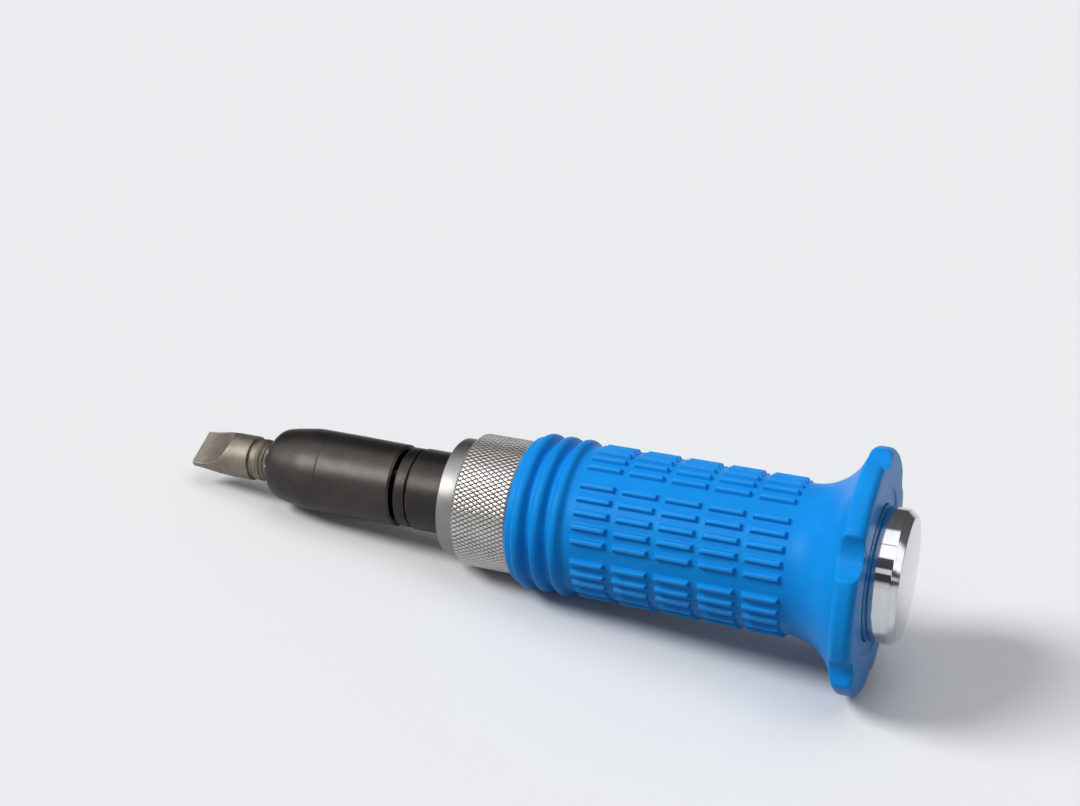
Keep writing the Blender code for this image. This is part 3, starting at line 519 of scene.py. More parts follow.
def holder_skin():
    """The bit holder: rounded nose, belly, hexagon socket in front and square socket behind.

    Outside, the radius is a smooth curve through the nose, cheek and belly knots, less a fine
    turned line. Inside, a socket's radius is the larger of its polygon and its mouth's cone.
    """
    front, rear, _ = span("bit_holder")
    front = front + HOLDER_SETBACK
    _, bit_end, _ = span("slotted_bit")
    seat_front = bit_end + GAP
    seat_rear = seat_front + SEAT_LENGTH
    square_front = rear - DRIVE_LENGTH
    rear = rear - HOLDER_REAR_SETBACK
    turn = even_turns()
    hexagon = polygon_radius(turn, 6, BIT_HEX + 2 * GAP)
    inside = np.linspace(front + MOUTH_LENGTH, front + MOUTH_LENGTH / 10, 6)
    inside = np.concatenate([[seat_front], inside])[:, None]
    mouth = SOCKET_MOUTH_R - SOCKET_SLOPE * (inside - front)
    hexagon_rows = np.maximum(hexagon, mouth)
    seat = np.array((seat_rear, seat_front))[:, None]
    rim_r = NOSE_KNOTS[0][1]
    rim = [(SOCKET_MOUTH_R - STEP, front + STEP), (SOCKET_MOUTH_R, front), (rim_r, front)]
    fine = HOLDER_LINE_HALF * np.linspace(-3, 3, LINE_ROWS) + HOLDER_LINE
    nose = np.linspace(STEP, CHEEK_KNOTS[0][0], NOSE_ROWS)
    belly = np.linspace(nose[-1] + BELLY_GAP, fine[0] - BELLY_GAP, BELLY_ROWS)
    tail = np.linspace(fine[-1] + TAIL_GAP, rear - front - HOLDER_EDGE, TAIL_ROWS)
    run = np.concatenate([nose, belly, fine, tail])
    outer = eased(NOSE_KNOTS + CHEEK_KNOTS + BELLY_KNOTS, run)
    outer = outer - HOLDER_LINE_DEPTH * ring_band(run, HOLDER_LINE, HOLDER_LINE_HALF)
    rear_r = BELLY_KNOTS[-1][1]
    edge = [(rear_r - STEP, rear - HOLDER_EDGE + STEP), (rear_r - HOLDER_EDGE + STEP, rear)]
    body = np.stack([outer, front + run], -1)
    outside = np.concatenate([rim, body, edge])
    square = polygon_radius(turn, 4, DRIVE_SQUARE + 2 * GAP)
    behind = np.linspace(rear, rear - SQUARE_MOUTH_LENGTH, 4)
    behind = np.concatenate([behind, [square_front]])[:, None]
    square_rows = np.maximum(square, SQUARE_MOUTH_R - (rear - behind))
    stations = np.concatenate([seat, inside, outside[:, 1:], behind])
    turned = np.broadcast_to(outside[:, :1], (len(outside), COLUMNS))
    radii = np.concatenate([np.full((2, COLUMNS), SEAT_R), hexagon_rows, turned, square_rows])
    # The turned line and the rear and nose edges are marked to be lightened: wear and a painted
    # highlight.
    line = ring_band(stations, front + HOLDER_LINE, 1.6 * HOLDER_LINE_HALF)
    tail_edge = ring_band(stations, rear - STEP, TAIL_WEAR_AND_HIGHLIGHT) * (radii > rear_r - TAIL_BAND)
    nose_edge = ring_band(stations, front, NOSE_WEAR_AND_HIGHLIGHT) * (radii > SOCKET_MOUTH_R - NOSE_BAND)
    wear = np.clip(0.45 * line + 0.6 * tail_edge + 0.5 * nose_edge, 0, 1)
    skin = Skin()
    skin.grid(place(radii, turn, stations), poles=(seat_rear, square_front), wear=wear)
    return skin


def window_half(height, twisted):
    """Half the width of a cam window at a height above the axis, once the pin has swung so far.

    It is height * tan(swing) + clearance * slope share / cos(swing).
    """
    swing = CAM_PLAY + CAM_TWIST * twisted
    return height * np.tan(swing) + PIN_CLEAR_R * WINDOW_SLOPE_SHARE / np.cos(swing)


def window_edge(radius, twisted):
    """The turn at which a window's straight side crosses a radius, measured from the pin.

    The side is the line x = a + b * y. It meets the circle where y solves
    (1 + b^2) y^2 + 2 a b y + a^2 = radius^2.
    """
    a = window_half(0.0, twisted)
    b = window_half(1.0, twisted) - a
    y = (-a * b + np.sqrt((1 + b**2) * radius**2 - a**2)) / (1 + b**2)
    return np.arctan2(a + b * y, y)


def drive_rows(front, turn):
    """Stations and radii of the square drive: the smaller of its square and its round corners.

    The ball's seat takes off depth * exp(-(distance / dimple radius)^6).
    """
    plain = np.linspace(*DRIVE_PLAIN, DRIVE_ROWS)
    run = np.concatenate([np.linspace(0, DRIVE_CHAMFER, 6), plain, [DRIVE_LENGTH]])[:, None]
    station = front + run
    chamfer = np.interp(station - front, (0, DRIVE_CHAMFER), (DRIVE_CHAMFER, 0))
    radius = np.minimum(polygon_radius(turn, 4, DRIVE_SQUARE), DRIVE_CORNER_R) - chamfer
    away = (turn + math.pi) % (2 * math.pi) - math.pi
    aside = DRIVE_SQUARE / 2 * np.tan(np.clip(away, -1, 1))
    distance = np.hypot(station - detent_station(), aside)
    return station, radius - DETENT_DIMPLE * np.exp(-((distance / DETENT_DIMPLE_R) ** 6))


def add_cam_walls(skin, window_front, pins, window_rear):
    """The cam's walls between its windows: ring sectors that end at the windows' straight sides."""
    stations = np.array((window_front, pins - STROKE, pins, window_rear))[:, None]
    twisted = np.array((1.0, 1.0, 0.0, 0.0))[:, None]
    stations = stations + GAP / 3 * np.array((-1.0, 0.0, 0.0, 1.0))[:, None]
    across = np.linspace(-1, 1, WEB_COLUMNS)
    for side in (0, math.pi):
        outer = (math.pi / 2 - window_edge(CAM_R, twisted)) * across
        inner = (math.pi / 2 - window_edge(CAM_BORE_R, twisted)) * across[::-1]
        turns = side + np.concatenate([outer, inner], 1)
        radii = np.concatenate([0 * outer + CAM_R, 0 * inner + CAM_BORE_R], 1)
        web = place(radii, turns, stations)
        skin.grid(web)
        skin.cap(web[0], True)
        skin.cap(web[-1], False)


def spindle_skin():
    """The spindle: square drive, shoulder ring, neck, and the hollow cam with its two windows."""
    front, rear, _ = span("spindle")
    shoulder = front + DRIVE_LENGTH
    groove = shoulder + SHOULDER_LENGTH
    neck = groove + NECK_GROOVE
    cam = rear - CAM_LENGTH
    pins = rear - PIN_SETBACK
    window_front = pins - STROKE - PIN_CLEAR_R
    window_rear = pins + PIN_CLEAR_R
    turn = even_turns()
    drive, radius = drive_rows(front, turn)
    corners = [
        (DRIVE_CORNER_R - DRIVE_ROOT, shoulder),
        (SHOULDER_R, shoulder),
        (SHOULDER_R, groove),
        (NECK_R - NECK_GROOVE_DEPTH, groove),
        (NECK_R - NECK_GROOVE_DEPTH, neck),
        (NECK_R, neck),
        (NECK_R, cam),
        (CAM_R, cam),
        (CAM_R, window_front),
        (CAM_BORE_R, window_front),
        (CAM_BORE_R, rear - CAM_BORE_DEPTH),
    ]
    turned_r, lines = np.hsplit(rounded(corners, SPINDLE_FILLETS), 2)
    past_flat = (radius - DRIVE_SQUARE / 2) / (DRIVE_CORNER_R - DRIVE_SQUARE / 2)
    # The drive's corners and the rings' edges are marked to be lightened: wear and a painted highlight.
    corner_wear_and_highlight = np.clip(past_flat, 0, 1) ** 5
    ring = np.maximum(0.6 * ring_band(lines, groove), ring_band(lines, neck))
    ring = np.maximum(ring, 0.7 * ring_band(lines, shoulder, WIDE_WEAR_AND_HIGHLIGHT))
    ring = ring * (turned_r > SHOULDER_R - EDGE_BAND)
    turned_r, ring = (np.broadcast_to(rows, (len(lines), COLUMNS)) for rows in (turned_r, ring))
    points = place(np.concatenate([radius, turned_r]), turn, np.concatenate([drive, lines]))
    skin = Skin()
    wear = np.concatenate([corner_wear_and_highlight, ring])
    skin.grid(points, poles=(front, rear - CAM_BORE_DEPTH), wear=wear)
    corners = [(CAM_BORE_R, window_rear), (CAM_R, window_rear), (CAM_R, rear), (CAM_BORE_R, rear)]
    tail = rounded(corners, CAM_TAIL_FILLETS, steps=5)
    skin.grid(place(tail[:, :1], turn, tail[:, 1:]), loop=True)
    add_cam_walls(skin, window_front, pins, window_rear)
    return skin


def detent_station():
    """The station of the detent ball's centre."""
    front, rear, _ = span("detent_ball")
    return (front + rear) / 2


def ball_skin():
    """The detent ball: radius * sin(tilt) from its own axis and radius * cos(tilt) along it."""
    low, high = (np.array(corner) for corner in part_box("detent_ball"))
    centre = (low + high) / 2
    tilt = np.linspace(0, math.pi, BALL_ROWS)[1:-1, None]
    turn = even_turns(BALL_COLUMNS)
    radius, station = DETENT_R * np.sin(tilt), -DETENT_R * np.cos(tilt)
    points = place(radius, turn, station) - TIP + centre
    skin = Skin()
    skin.grid(points)
    skin.cap(points[0], True)
    skin.cap(points[-1], False)
    return skin


def turned_skin(outline, wear, poles=None):
    """A surface of revolution: an outline of (radius, station) points carried round the axis."""
    skin = Skin()
    points = place(outline[:, :1], even_turns(), outline[:, 1:])
    skin.grid(points, loop=poles is None, poles=poles, wear=wear[:, None])
    return skin


def ring_skin():
    """The front ring: a turned ring with broken edges and a seat for the seal behind."""
    front, rear, outer = span("front_ring")
    bore = NECK_R + GAP
    corners = [
        (bore, rear - SEAL_SEAT_DEPTH),
        (bore, front),
        (outer, front),
        (outer, rear),
        (SEAL_SEAT_R, rear),
        (SEAL_SEAT_R, rear - SEAL_SEAT_DEPTH),
    ]
    outline = rounded(corners, RING_FILLETS)
    radii, stations = outline.T
    lip = np.maximum(ring_band(stations, front, WIDE_WEAR_AND_HIGHLIGHT), ring_band(stations, rear))
    return turned_skin(outline, lip * (radii > outer - EDGE_BAND))


def knurl_depth(turn, along, ribs):
    """How deep the knurl is cut, as a share: the deeper of the two crossing families of grooves.

    With a = ribs * turn / full turn and b = rows * along, the grooves lie where a + b or
    a - b is whole, and the depth falls off with the distance from the nearest one.
    """
    a = ribs * turn / (2 * math.pi)
    b = KNURL_ROWS * along
    away = [np.abs(phase - np.round(phase)) for phase in (a + b, a - b)]
    depths = [np.interp(distance, KNURL_AWAY, KNURL_SHARES) for distance in away]
    return np.maximum(*depths)


def collar_skin(ribs, depth):
    """The knurled collar: two families of grooves that cross, chamfered ends, flange and bore."""
    front, rear, outer = span("knurled_collar")
    columns = 2 * ribs * KNURL_FINENESS
    cells = 2 * KNURL_ROWS * KNURL_FINENESS
    step = 2 * math.pi / columns
    turn = even_turns(columns)
    along = np.linspace(0, 1, cells + 1)[:, None]
    middle = (along[1:] + along[:-1]) / 2

    def surface(share, turns):
        """Points of the knurl, and how deep it is cut there."""
        station = front + share * (rear - front)
        cut = knurl_depth(turns, share, ribs)
        inset = COLLAR_EDGE - np.minimum(station - front, rear - station)
        radius = np.minimum(outer - depth * cut, outer - np.maximum(inset, 0))
        return place(radius, turns, station), cut

    corners, corner_cut = surface(along, turn)
    middles, middle_cut = surface(middle, turn + step / 2)
    skin = Skin()
    # The knurl's depth is each point's mark, turned into painted shade by the finish.
    skin.crossed(corners, middles, corner_cut, middle_cut)
    edge_r = outer - COLLAR_EDGE
    bore = [
        (edge_r, rear),
        (COLLAR_BORE_R, rear),
        (COLLAR_BORE_R, front + COLLAR_FLANGE),
        (NECK_R + 2 * GAP, front + COLLAR_FLANGE),
        (NECK_R + 2 * GAP, front),
        (edge_r, front),
    ]
    line = rounded(bore, COLLAR_FILLETS, steps=4)
    points = place(line[:, :1], turn, line[:, 1:])
    points[0] = corners[-1]
    points[-1] = corners[0]
    skin.grid(points)
    return skin


def bar_turns():
    """Columns of the grip: denser at the sides of each row of bars, so that these are crisp."""
    inset = np.array(BAR_SIDE_RUNS)
    half = np.concatenate([[0], BAR_WIDTH / 2 - inset])
    one_bar = np.unique(np.concatenate([-half, half])) / GRIP_BASE_R
    row = (np.arange(BAR_ROWS) - (BAR_ROWS - 1) / 2) * BAR_ROW_TURN
    group = 2 * math.pi / BAR_GROUPS * np.arange(BAR_GROUPS)
    bars = (group[:, None, None] + row[None, :, None] + one_bar[None, None]).ravel()
    middles = (np.arange(BAR_ROWS - 1) - (BAR_ROWS - 2) / 2) * BAR_ROW_TURN
    finer = BAR_ROW_TURN / 8 * np.array((-1, 1))
    middles = np.concatenate([middles, (middles[1:-1, None] + finer).ravel()])
    between = (group[:, None] + middles).ravel()
    last = row[-1] + one_bar[-1]
    gap = np.linspace(last, 2 * math.pi / BAR_GROUPS - last, 7)[1:-1]
    gaps = (group[:, None] + gap).ravel()
    return np.sort(np.concatenate([bars, between, gaps]) % (2 * math.pi))[None]


def bar_stations():
    """Rows of the grip along its bars: denser at the bars' ends."""
    inset = np.array(BAR_SIDE_RUNS)
    inner = np.linspace(0, 1, 5)[1:-1] * BAR_LENGTH
    one_bar = np.sort(np.concatenate([inset, BAR_LENGTH - inset, inner]))
    return (BAR_FIRST + BAR_PITCH * np.arange(BAR_COLUMNS)[:, None] + one_bar).ravel()


def bar_height(turn, run):
    """The height of the bars as a share: the side's curve at the nearer edge's distance."""
    period = 2 * math.pi / BAR_GROUPS
    in_group = (turn + period / 2) % period - period / 2
    row = np.clip(np.round(in_group / BAR_ROW_TURN), -(BAR_ROWS - 1) / 2, (BAR_ROWS - 1) / 2)
    aside = BAR_WIDTH / 2 - np.abs(in_group - row * BAR_ROW_TURN) * GRIP_BASE_R
    column = np.clip(np.round((run - BAR_FIRST - BAR_LENGTH / 2) / BAR_PITCH), 0, BAR_COLUMNS - 1)
    middle = BAR_FIRST + BAR_LENGTH / 2 + column * BAR_PITCH
    along = BAR_LENGTH / 2 - np.abs(run - middle)
    return np.interp(np.minimum(aside, along), BAR_SIDE_RUNS, BAR_SIDE_SHARES)


def scallop_limit(turn):
    """The largest radius that the guard's round scallops leave at a turn.

    A scallop is a cylinder of radius S whose axis lies at a distance C from the tool's. At
    a turn d from its middle it is met at C cos(d) - sqrt(S^2 - C^2 sin^2(d)).
    """
    period = 2 * math.pi / SCALLOP_COUNT
    away = (turn + period / 2) % period - period / 2
    half_chord = GUARD_R * math.sin(SCALLOP_HALF_TURN)
    floor = GUARD_R - SCALLOP_DEPTH
    bite = GUARD_R * math.cos(SCALLOP_HALF_TURN) - floor
    scallop_r = (half_chord**2 + bite**2) / (2 * bite)
    centre = floor + scallop_r
    under = scallop_r**2 - (centre * np.sin(away)) ** 2
    met = centre * np.cos(away) - np.sqrt(np.maximum(under, 0))
    return np.where(under > 0, met, 2 * GUARD_R)


def rib_outline():
    """The ribs as (radius, run): a plain lip, then a smooth curve through the knots of each rib.

    A rib rises steeply to an edge, rounds over its crest and falls into a narrow groove, and
    the last one fades into the cylinder.
    """
    lip = rounded(GRIP_LIP, GRIP_LIP_FILLETS, steps=5)
    knots = [(lip[-1, 1], lip[-1, 0])]
    for crest in RIB_CRESTS:
        front = () if crest == RIB_CRESTS[0] else RIB_GROOVE_KNOTS
        rear = RIB_FADE_KNOTS if crest == RIB_CRESTS[-1] else RIB_FALL_KNOTS
        rib = (*front, *RIB_EDGE_KNOTS, *RIB_CREST_KNOTS, *rear)
        knots += [(crest + run, radius) for run, radius in rib]
    run = np.linspace(knots[0][0], knots[-1][0], RIB_ROWS)[1:]
    return np.concatenate([lip, np.stack([eased(knots, run), run], -1)])


def grip_outline():
    """The grip's outline without bars, as (radius, run) from its mouth: outside, then back inside.

    The flare is part of an ellipse that leaves the cylinder flat. The guard's edges are
    quarter circles.
    """
    ribs = rib_outline()
    start = np.linspace(ribs[-1, 1], BAR_FIRST - BAR_LEAD, 3)[1:]
    bars = bar_stations()
    after = np.linspace(bars[-1] + BAR_TRAIL, FLARE_FIRST, 3)[:-1]
    plain = np.concatenate([start, bars, after])
    turn = FLARE_TURN * np.linspace(0, 1, FLARE_STEPS)
    flare_end = GUARD_R - GUARD_FRONT_ROUND
    rise = (1 - np.cos(turn)) / (1 - math.cos(FLARE_TURN))
    flare_r = GRIP_BASE_R + (flare_end - GRIP_BASE_R) * rise
    flare_run = FLARE_FIRST + FLARE_LENGTH * np.sin(turn) / math.sin(FLARE_TURN)
    flare = np.stack([flare_r, flare_run], -1)
    front = FLARE_FIRST + FLARE_LENGTH
    quarter = np.linspace(0, math.pi / 2, 8)[1:]
    nose_r = flare_end + GUARD_FRONT_ROUND * np.sin(quarter)
    nose = np.stack([nose_r, front + GUARD_FRONT_ROUND * (1 - np.cos(quarter))], -1)
    band_end = front + GUARD_FRONT_ROUND + GUARD_BAND
    band_run = np.linspace(nose[-1, 1], band_end - GUARD_REAR_ROUND, 4)[1:]
    band = np.stack([0 * band_run + GUARD_R, band_run], -1)
    quarter = np.linspace(0, math.pi / 2, 9)[1:]
    round_r = GUARD_R - GUARD_REAR_ROUND * (1 - np.cos(quarter))
    tail = np.stack([round_r, band_end - GUARD_REAR_ROUND * (1 - np.sin(quarter))], -1)
    recess = band_end - GUARD_RECESS
    face = [
        (round_r[-1], band_end),
        (GUARD_FACE_R, band_end),
        (GUARD_FACE_R - GUARD_RECESS, recess),
        (GUARD_BORE_R, recess),
        (GUARD_BORE_R, GRIP_SEAT),
        (GRIP_BORE_R, GRIP_SEAT),
        (GRIP_BORE_R, 0),
        GRIP_LIP[0],
    ]
    inside = rounded(face, GUARD_FILLETS, steps=5)
    body = np.stack([0 * plain + GRIP_BASE_R, plain], -1)
    return np.concatenate([ribs, body, flare, nose, band, tail, inside[1:-1]])


def grip_skin(bar_rise):
    """The grip sleeve: its outline carried round, raised by the bars and cut by the scallops.

    Where a radius a meets the scallops' limit b, the two are joined by a soft edge,
    (a + b - sqrt((a - b)^2 + blend^2)) / 2.
    """
    front, _, _ = span("grip_sleeve")
    outline = grip_outline()
    turn = bar_turns()
    radius, run = outline[:, :1], outline[:, 1:]
    height = bar_height(turn, run)
    stations = bar_stations()
    on_bars = (run >= stations[0]) & (run <= stations[-1]) & (radius == GRIP_BASE_R)
    raised = radius + bar_rise * height * on_bars
    limit = scallop_limit(turn)
    soft = (raised + limit - np.hypot(raised - limit, SCALLOP_BLEND)) / 2
    cut = np.where((run > FLARE_FIRST) & (raised > SCALLOP_LEAST_R), soft, raised)
    skin = Skin()
    # The bars' height is each point's mark, turned into a painted highlight on the bar tops by the
    # finish.
    skin.grid(place(cut, turn, front + run), loop=True, wear=height * on_bars)
    return skin


def head_skin():
    """The striking head: flat face, wide chamfer, plain cylinder and a spigot in the barrel."""
    front, rear, _ = span("striking_head")
    seat = rear - HEAD_VISIBLE
    ring = seat - HEAD_GROOVE
    corners = [
        (STEP, front),
        (HEAD_SPIGOT_R, front),
        (HEAD_SPIGOT_R, ring - HEAD_GROOVE_HALF),
        (HEAD_GROOVE_R, ring - HEAD_GROOVE_HALF),
        (HEAD_GROOVE_R, ring + HEAD_GROOVE_HALF),
        (HEAD_SPIGOT_R, ring + HEAD_GROOVE_HALF),
        (HEAD_SPIGOT_R, seat),
        (HEAD_R, seat),
        (HEAD_R, rear - HEAD_CHAMFER),
        (HEAD_FACE_R, rear),
        (STEP, rear),
    ]
    outline = rounded(corners, HEAD_FILLETS, steps=7)
    stations = outline[:, 1]
    from_start = np.clip((stations - rear + HEAD_CHAMFER) / HEAD_EDGE, 0, 1)
    from_face = np.clip((rear - stations) / HEAD_EDGE, 0, 1)
    return turned_skin(outline, from_start * from_face, poles=(front, rear))


# Finishes

# Darkening of the holder's oxide for the spindle: painted shade.
SPINDLE_SHADE = 0.72
# Lighter tone for the bit's marked edges: wear and a painted highlight.
PHOSPHATE_WEAR_AND_HIGHLIGHT = (0.5, 0.46, 0.4)
OXIDE_SPECKS = (0.15, 0.13, 0.11)
# Lighter tone for the black oxide's marked edges: wear and a painted highlight.
OXIDE_WEAR_AND_HIGHLIGHT = (0.34, 0.32, 0.3)
# Darker tone in the knurl's grooves: painted shade.
GROOVE_SHADE = (0.17, 0.165, 0.16)
CHROME_TONES = ((0.54, 0.55, 0.57), (0.64, 0.65, 0.67))
SCUFFED_PLASTIC = (0.35, 0.55, 0.8)
# Blue tint of the moulding's gloss: painted reflection.
BLUE_REFLECTION_TINT = (0.35, 0.72, 1.0, 1.0)
RUBBER_TONES = ((0.012, 0.012, 0.013), (0.03, 0.03, 0.031))
BARE_STEEL = (0.55, 0.54, 0.52)
BALL_STEEL = (0.6, 0.59, 0.57)
SPRING_STEEL = (0.22, 0.215, 0.21)
BRONZE = (0.6, 0.42, 0.2)
MAGNET_NICKEL = (0.68, 0.66, 0.62)


class Socket:
    """A node's output that can be used in sums, each of which adds a Math node."""

    def __init__(self, finish, socket):
        self.finish = finish
        self.socket = socket

    def math(self, operation, *values):
        """A Math node of the finish, fed with values and other sockets."""
        inputs = dict(enumerate(values))
        return self.finish.add("ShaderNodeMath", {"operation": operation}, inputs)

    def __add__(self, other):
        return self.math("ADD", self, other)

    def __sub__(self, other):
        return self.math("SUBTRACT", self, other)

    def __rsub__(self, other):
        return self.math("SUBTRACT", other, self)

    def __mul__(self, other):
        return self.math("MULTIPLY", self, other)

    def __truediv__(self, other):
        return self.math("DIVIDE", self, other)

    __radd__ = __add__
    __rmul__ = __mul__


class Finish:
    """A material for this tool, built from nodes whose sockets can be used in sums."""

    def __init__(self, name, tree=None):
        if tree is None:
            self.material = bpy.data.materials.new(name)
            self.material.use_nodes = True
            tree = self.material.node_tree
        self.tree = tree
        self.shader = tree.nodes.get("Principled BSDF")

    def add(self, kind, settings=None, inputs=None, output=0):
        """A node of a kind, with its settings first and then its inputs, as one of its outputs."""
        node = self.tree.nodes.new(kind)
        for name, value in (settings or {}).items():
            if name == "stops":
                self.set_stops(node.color_ramp, value)
            else:
                setattr(node, name, value)
        for name, value in (inputs or {}).items():
            self.feed(node.inputs[name], value)
        return Socket(self, node.outputs[output])

    def set_stops(self, ramp, stops):
        """Give a colour ramp its (place, colour) stops."""
        while len(ramp.elements) < len(stops):
            ramp.elements.new(1.0)
        for element, (spot, colour) in zip(ramp.elements, stops):
            element.position = spot
            element.color = (*colour, 1)

    def feed(self, entry, value):
        """Link a socket to an input, or set the input to a value."""
        if isinstance(value, Socket):
            self.tree.links.new(value.socket, entry)
        else:
            entry.default_value = value

    def set(self, **inputs):
        """Feed the shader's inputs, named with underscores for spaces."""
        for name, value in inputs.items():
            self.feed(self.shader.inputs[name.replace("_", " ")], value)

    def spot(self):
        """The place on the piece in the tool's own directions: up, near side and station."""
        turned = Matrix((UP, NEAR, AXIS))
        shift = turned @ Vector(-TIP)
        here = self.add("ShaderNodeTexCoord", output="Object")
        settings = {"vector_type": "POINT"}
        inputs = {"Vector": here, "Location": shift, "Rotation": turned.to_euler()}
        return self.add("ShaderNodeMapping", settings, inputs)

    def noise(self, spot, scale, detail, roughness):
        """A noise value between 0 and 1."""
        inputs = {"Vector": spot, "Scale": scale, "Detail": detail, "Roughness": roughness}
        return self.add("ShaderNodeTexNoise", None, inputs)

    def streaks(self, spot, across, along, detail, roughness):
        """Drawn-out noise, with one scale across the axis and another along it."""
        inputs = {0: spot, 1: (across, across, along)}
        drawn_out = self.add("ShaderNodeVectorMath", {"operation": "MULTIPLY"}, inputs)
        return self.noise(drawn_out, 1.0, detail, roughness)

    def ranged(self, value, low, high, start=0.0, end=1.0):
        """A value mapped from one range to another, and kept inside it."""
        inputs = {0: value, 1: low, 2: high, 3: start, 4: end}
        return self.add("ShaderNodeMapRange", {"clamp": True}, inputs)

    def mixed(self, share, first, second):
        """Two colours mixed by a share."""
        inputs = {0: share, 6: (*first, 1) if isinstance(first, tuple) else first}
        inputs[7] = (*second, 1) if isinstance(second, tuple) else second
        return self.add("ShaderNodeMix", {"data_type": "RGBA"}, inputs, 2)

    def attribute(self, name):
        """A value stored on the piece's points."""
        return self.add("ShaderNodeAttribute", {"attribute_name": name}, None, "Fac")

    def bumped(self, height, distance, strength=1.0):
        """A surface direction tilted by a height in metres times a distance."""
        inputs = {"Height": height, "Distance": distance, "Strength": strength}
        return self.add("ShaderNodeBump", None, inputs)


def clear_colour(values):
    """A colour property's three values as a plain tuple."""
    return tuple(float(value) for value in values[:3])


def phosphate_finish(settings):
    """Warm grey phosphate of the bit, lightened along its edges by wear and a painted highlight, with
    fine grinding lines.
    """
    finish = Finish("bit_phosphate")
    spot = finish.spot()
    cloud = finish.noise(spot, 420.0, 4.0, 0.6)
    grain = finish.noise(spot, 5200.0, 3.0, 0.6)
    lines = finish.streaks(spot, 7000.0, 500.0, 2.0, 0.6)
    # Lighter at the marked edges: wear and a painted highlight.
    lightening = finish.attribute("wear")
    bright = finish.ranged(lightening + 0.5 * cloud + 0.3 * grain, 0.8, 1.4)
    dark = tuple(0.68 * value for value in clear_colour(settings.bit_colour))
    base = finish.mixed(finish.ranged(cloud, 0.3, 0.7), dark, clear_colour(settings.bit_colour))
    colour = finish.mixed(bright, base, PHOSPHATE_WEAR_AND_HIGHLIGHT)
    finish.set(Base_Color=colour, Metallic=1.0)
    finish.set(Roughness=finish.ranged(grain + 0.4 * cloud, 0.4, 1.0, 0.46, 0.62) - 0.14 * bright)
    finish.set(Normal=finish.bumped(lines * 0.4 + grain, 0.00004, 0.8))
    return finish.material


def black_finish(name, colour):
    """Satin black oxide of the holder and spindle: turned lines, rubbing, and edges lightened by wear
    and a painted highlight.
    """
    finish = Finish(name)
    spot = finish.spot()
    cloud = finish.noise(spot, 260.0, 4.0, 0.6)
    grain = finish.noise(spot, 4200.0, 3.0, 0.6)
    lines = finish.streaks(spot, 120.0, 9000.0, 3.0, 0.6)
    specks = finish.ranged(finish.noise(spot, 1900.0, 2.0, 0.5), 0.66, 0.74)
    # Lighter at the marked edges and line: wear and a painted highlight.
    lightening = finish.attribute("wear")
    bright = finish.ranged(lightening + 0.35 * grain + 0.2 * cloud, 0.8, 1.25)
    warm = (1.3 * colour[0], 1.2 * colour[1], 1.12 * colour[2])
    base = finish.mixed(finish.ranged(cloud, 0.35, 0.7), colour, warm)
    base = finish.mixed(specks * 0.3, base, OXIDE_SPECKS)
    finish.set(Base_Color=finish.mixed(bright, base, OXIDE_WEAR_AND_HIGHLIGHT), Metallic=1.0)
    rough = finish.ranged(grain * 0.5 + lines * 0.5, 0.3, 0.7, 0.36, 0.47)
    finish.set(Roughness=rough - 0.15 * bright)
    finish.set(Normal=finish.bumped(lines * 0.6 + grain * 0.7, 0.000014, 0.6))
    return finish.material


def turned_finish(name, colour, line_scale, roughness, depth):
    """Bare turned steel: fine lines round the axis, a soft cloud in its gloss."""
    finish = Finish(name)
    spot = finish.spot()
    cloud = finish.noise(spot, 300.0, 3.0, 0.55)
    lines = finish.streaks(spot, 60.0, line_scale, 4.0, 0.65)
    dark = tuple(0.8 * value for value in colour)
    share = finish.ranged(lines * 0.6 + cloud * 0.4, 0.35, 0.65)
    finish.set(Base_Color=finish.mixed(share, dark, colour), Metallic=1.0)
    spread = (roughness - 0.06, roughness + 0.06)
    finish.set(Roughness=finish.ranged(lines * 0.5 + cloud * 0.5, 0.3, 0.7, *spread))
    finish.set(Normal=finish.bumped(lines, depth, 0.7))
    return finish.material


def knurl_finish(settings):
    """Nickel plated knurl: clean bright tops, and grooves darkened as painted shade."""
    finish = Finish("knurl_nickel")
    spot = finish.spot()
    cloud = finish.noise(spot, 330.0, 3.0, 0.55)
    grain = finish.noise(spot, 6500.0, 2.0, 0.6)
    cut = finish.attribute("wear")
    # Darker deeper in the grooves: painted shade.
    groove = finish.ranged(cut + 0.25 * cloud, 0.25, 0.95)
    tone = clear_colour(settings.knurl_colour)
    warm = (tone[0], 0.97 * tone[1], 0.92 * tone[2])
    base = finish.mixed(finish.ranged(cloud, 0.4, 0.65), tone, warm)
    finish.set(Base_Color=finish.mixed(groove, base, GROOVE_SHADE), Metallic=1.0)
    finish.set(Roughness=finish.ranged(grain, 0.3, 0.7, 0.2, 0.3) + 0.25 * groove)
    finish.set(Normal=finish.bumped(grain, 0.000012, 0.5))
    return finish.material


def chrome_finish():
    """Mirror chrome with faint turned streaks and hairline marks from use."""
    finish = Finish("mirror_chrome")
    spot = finish.spot()
    streaks = finish.streaks(spot, 40.0, 5200.0, 4.0, 0.7)
    haze = finish.noise(spot, 240.0, 3.0, 0.5)
    marks = finish.streaks(spot, 900.0, 260.0, 2.0, 0.4)
    marks = finish.ranged(marks, 0.7, 0.74)
    turned = finish.attribute("wear")
    share = finish.ranged(streaks, 0.35, 0.7)
    finish.set(Base_Color=finish.mixed(share, *CHROME_TONES), Metallic=1.0)
    finish.set(Roughness=finish.ranged(haze, 0.35, 0.75, 0.03, 0.07) + 0.06 * marks + 0.07 * turned)
    finish.set(Normal=finish.bumped(streaks * (0.12 + turned), 0.00002, 0.7))
    return finish.material


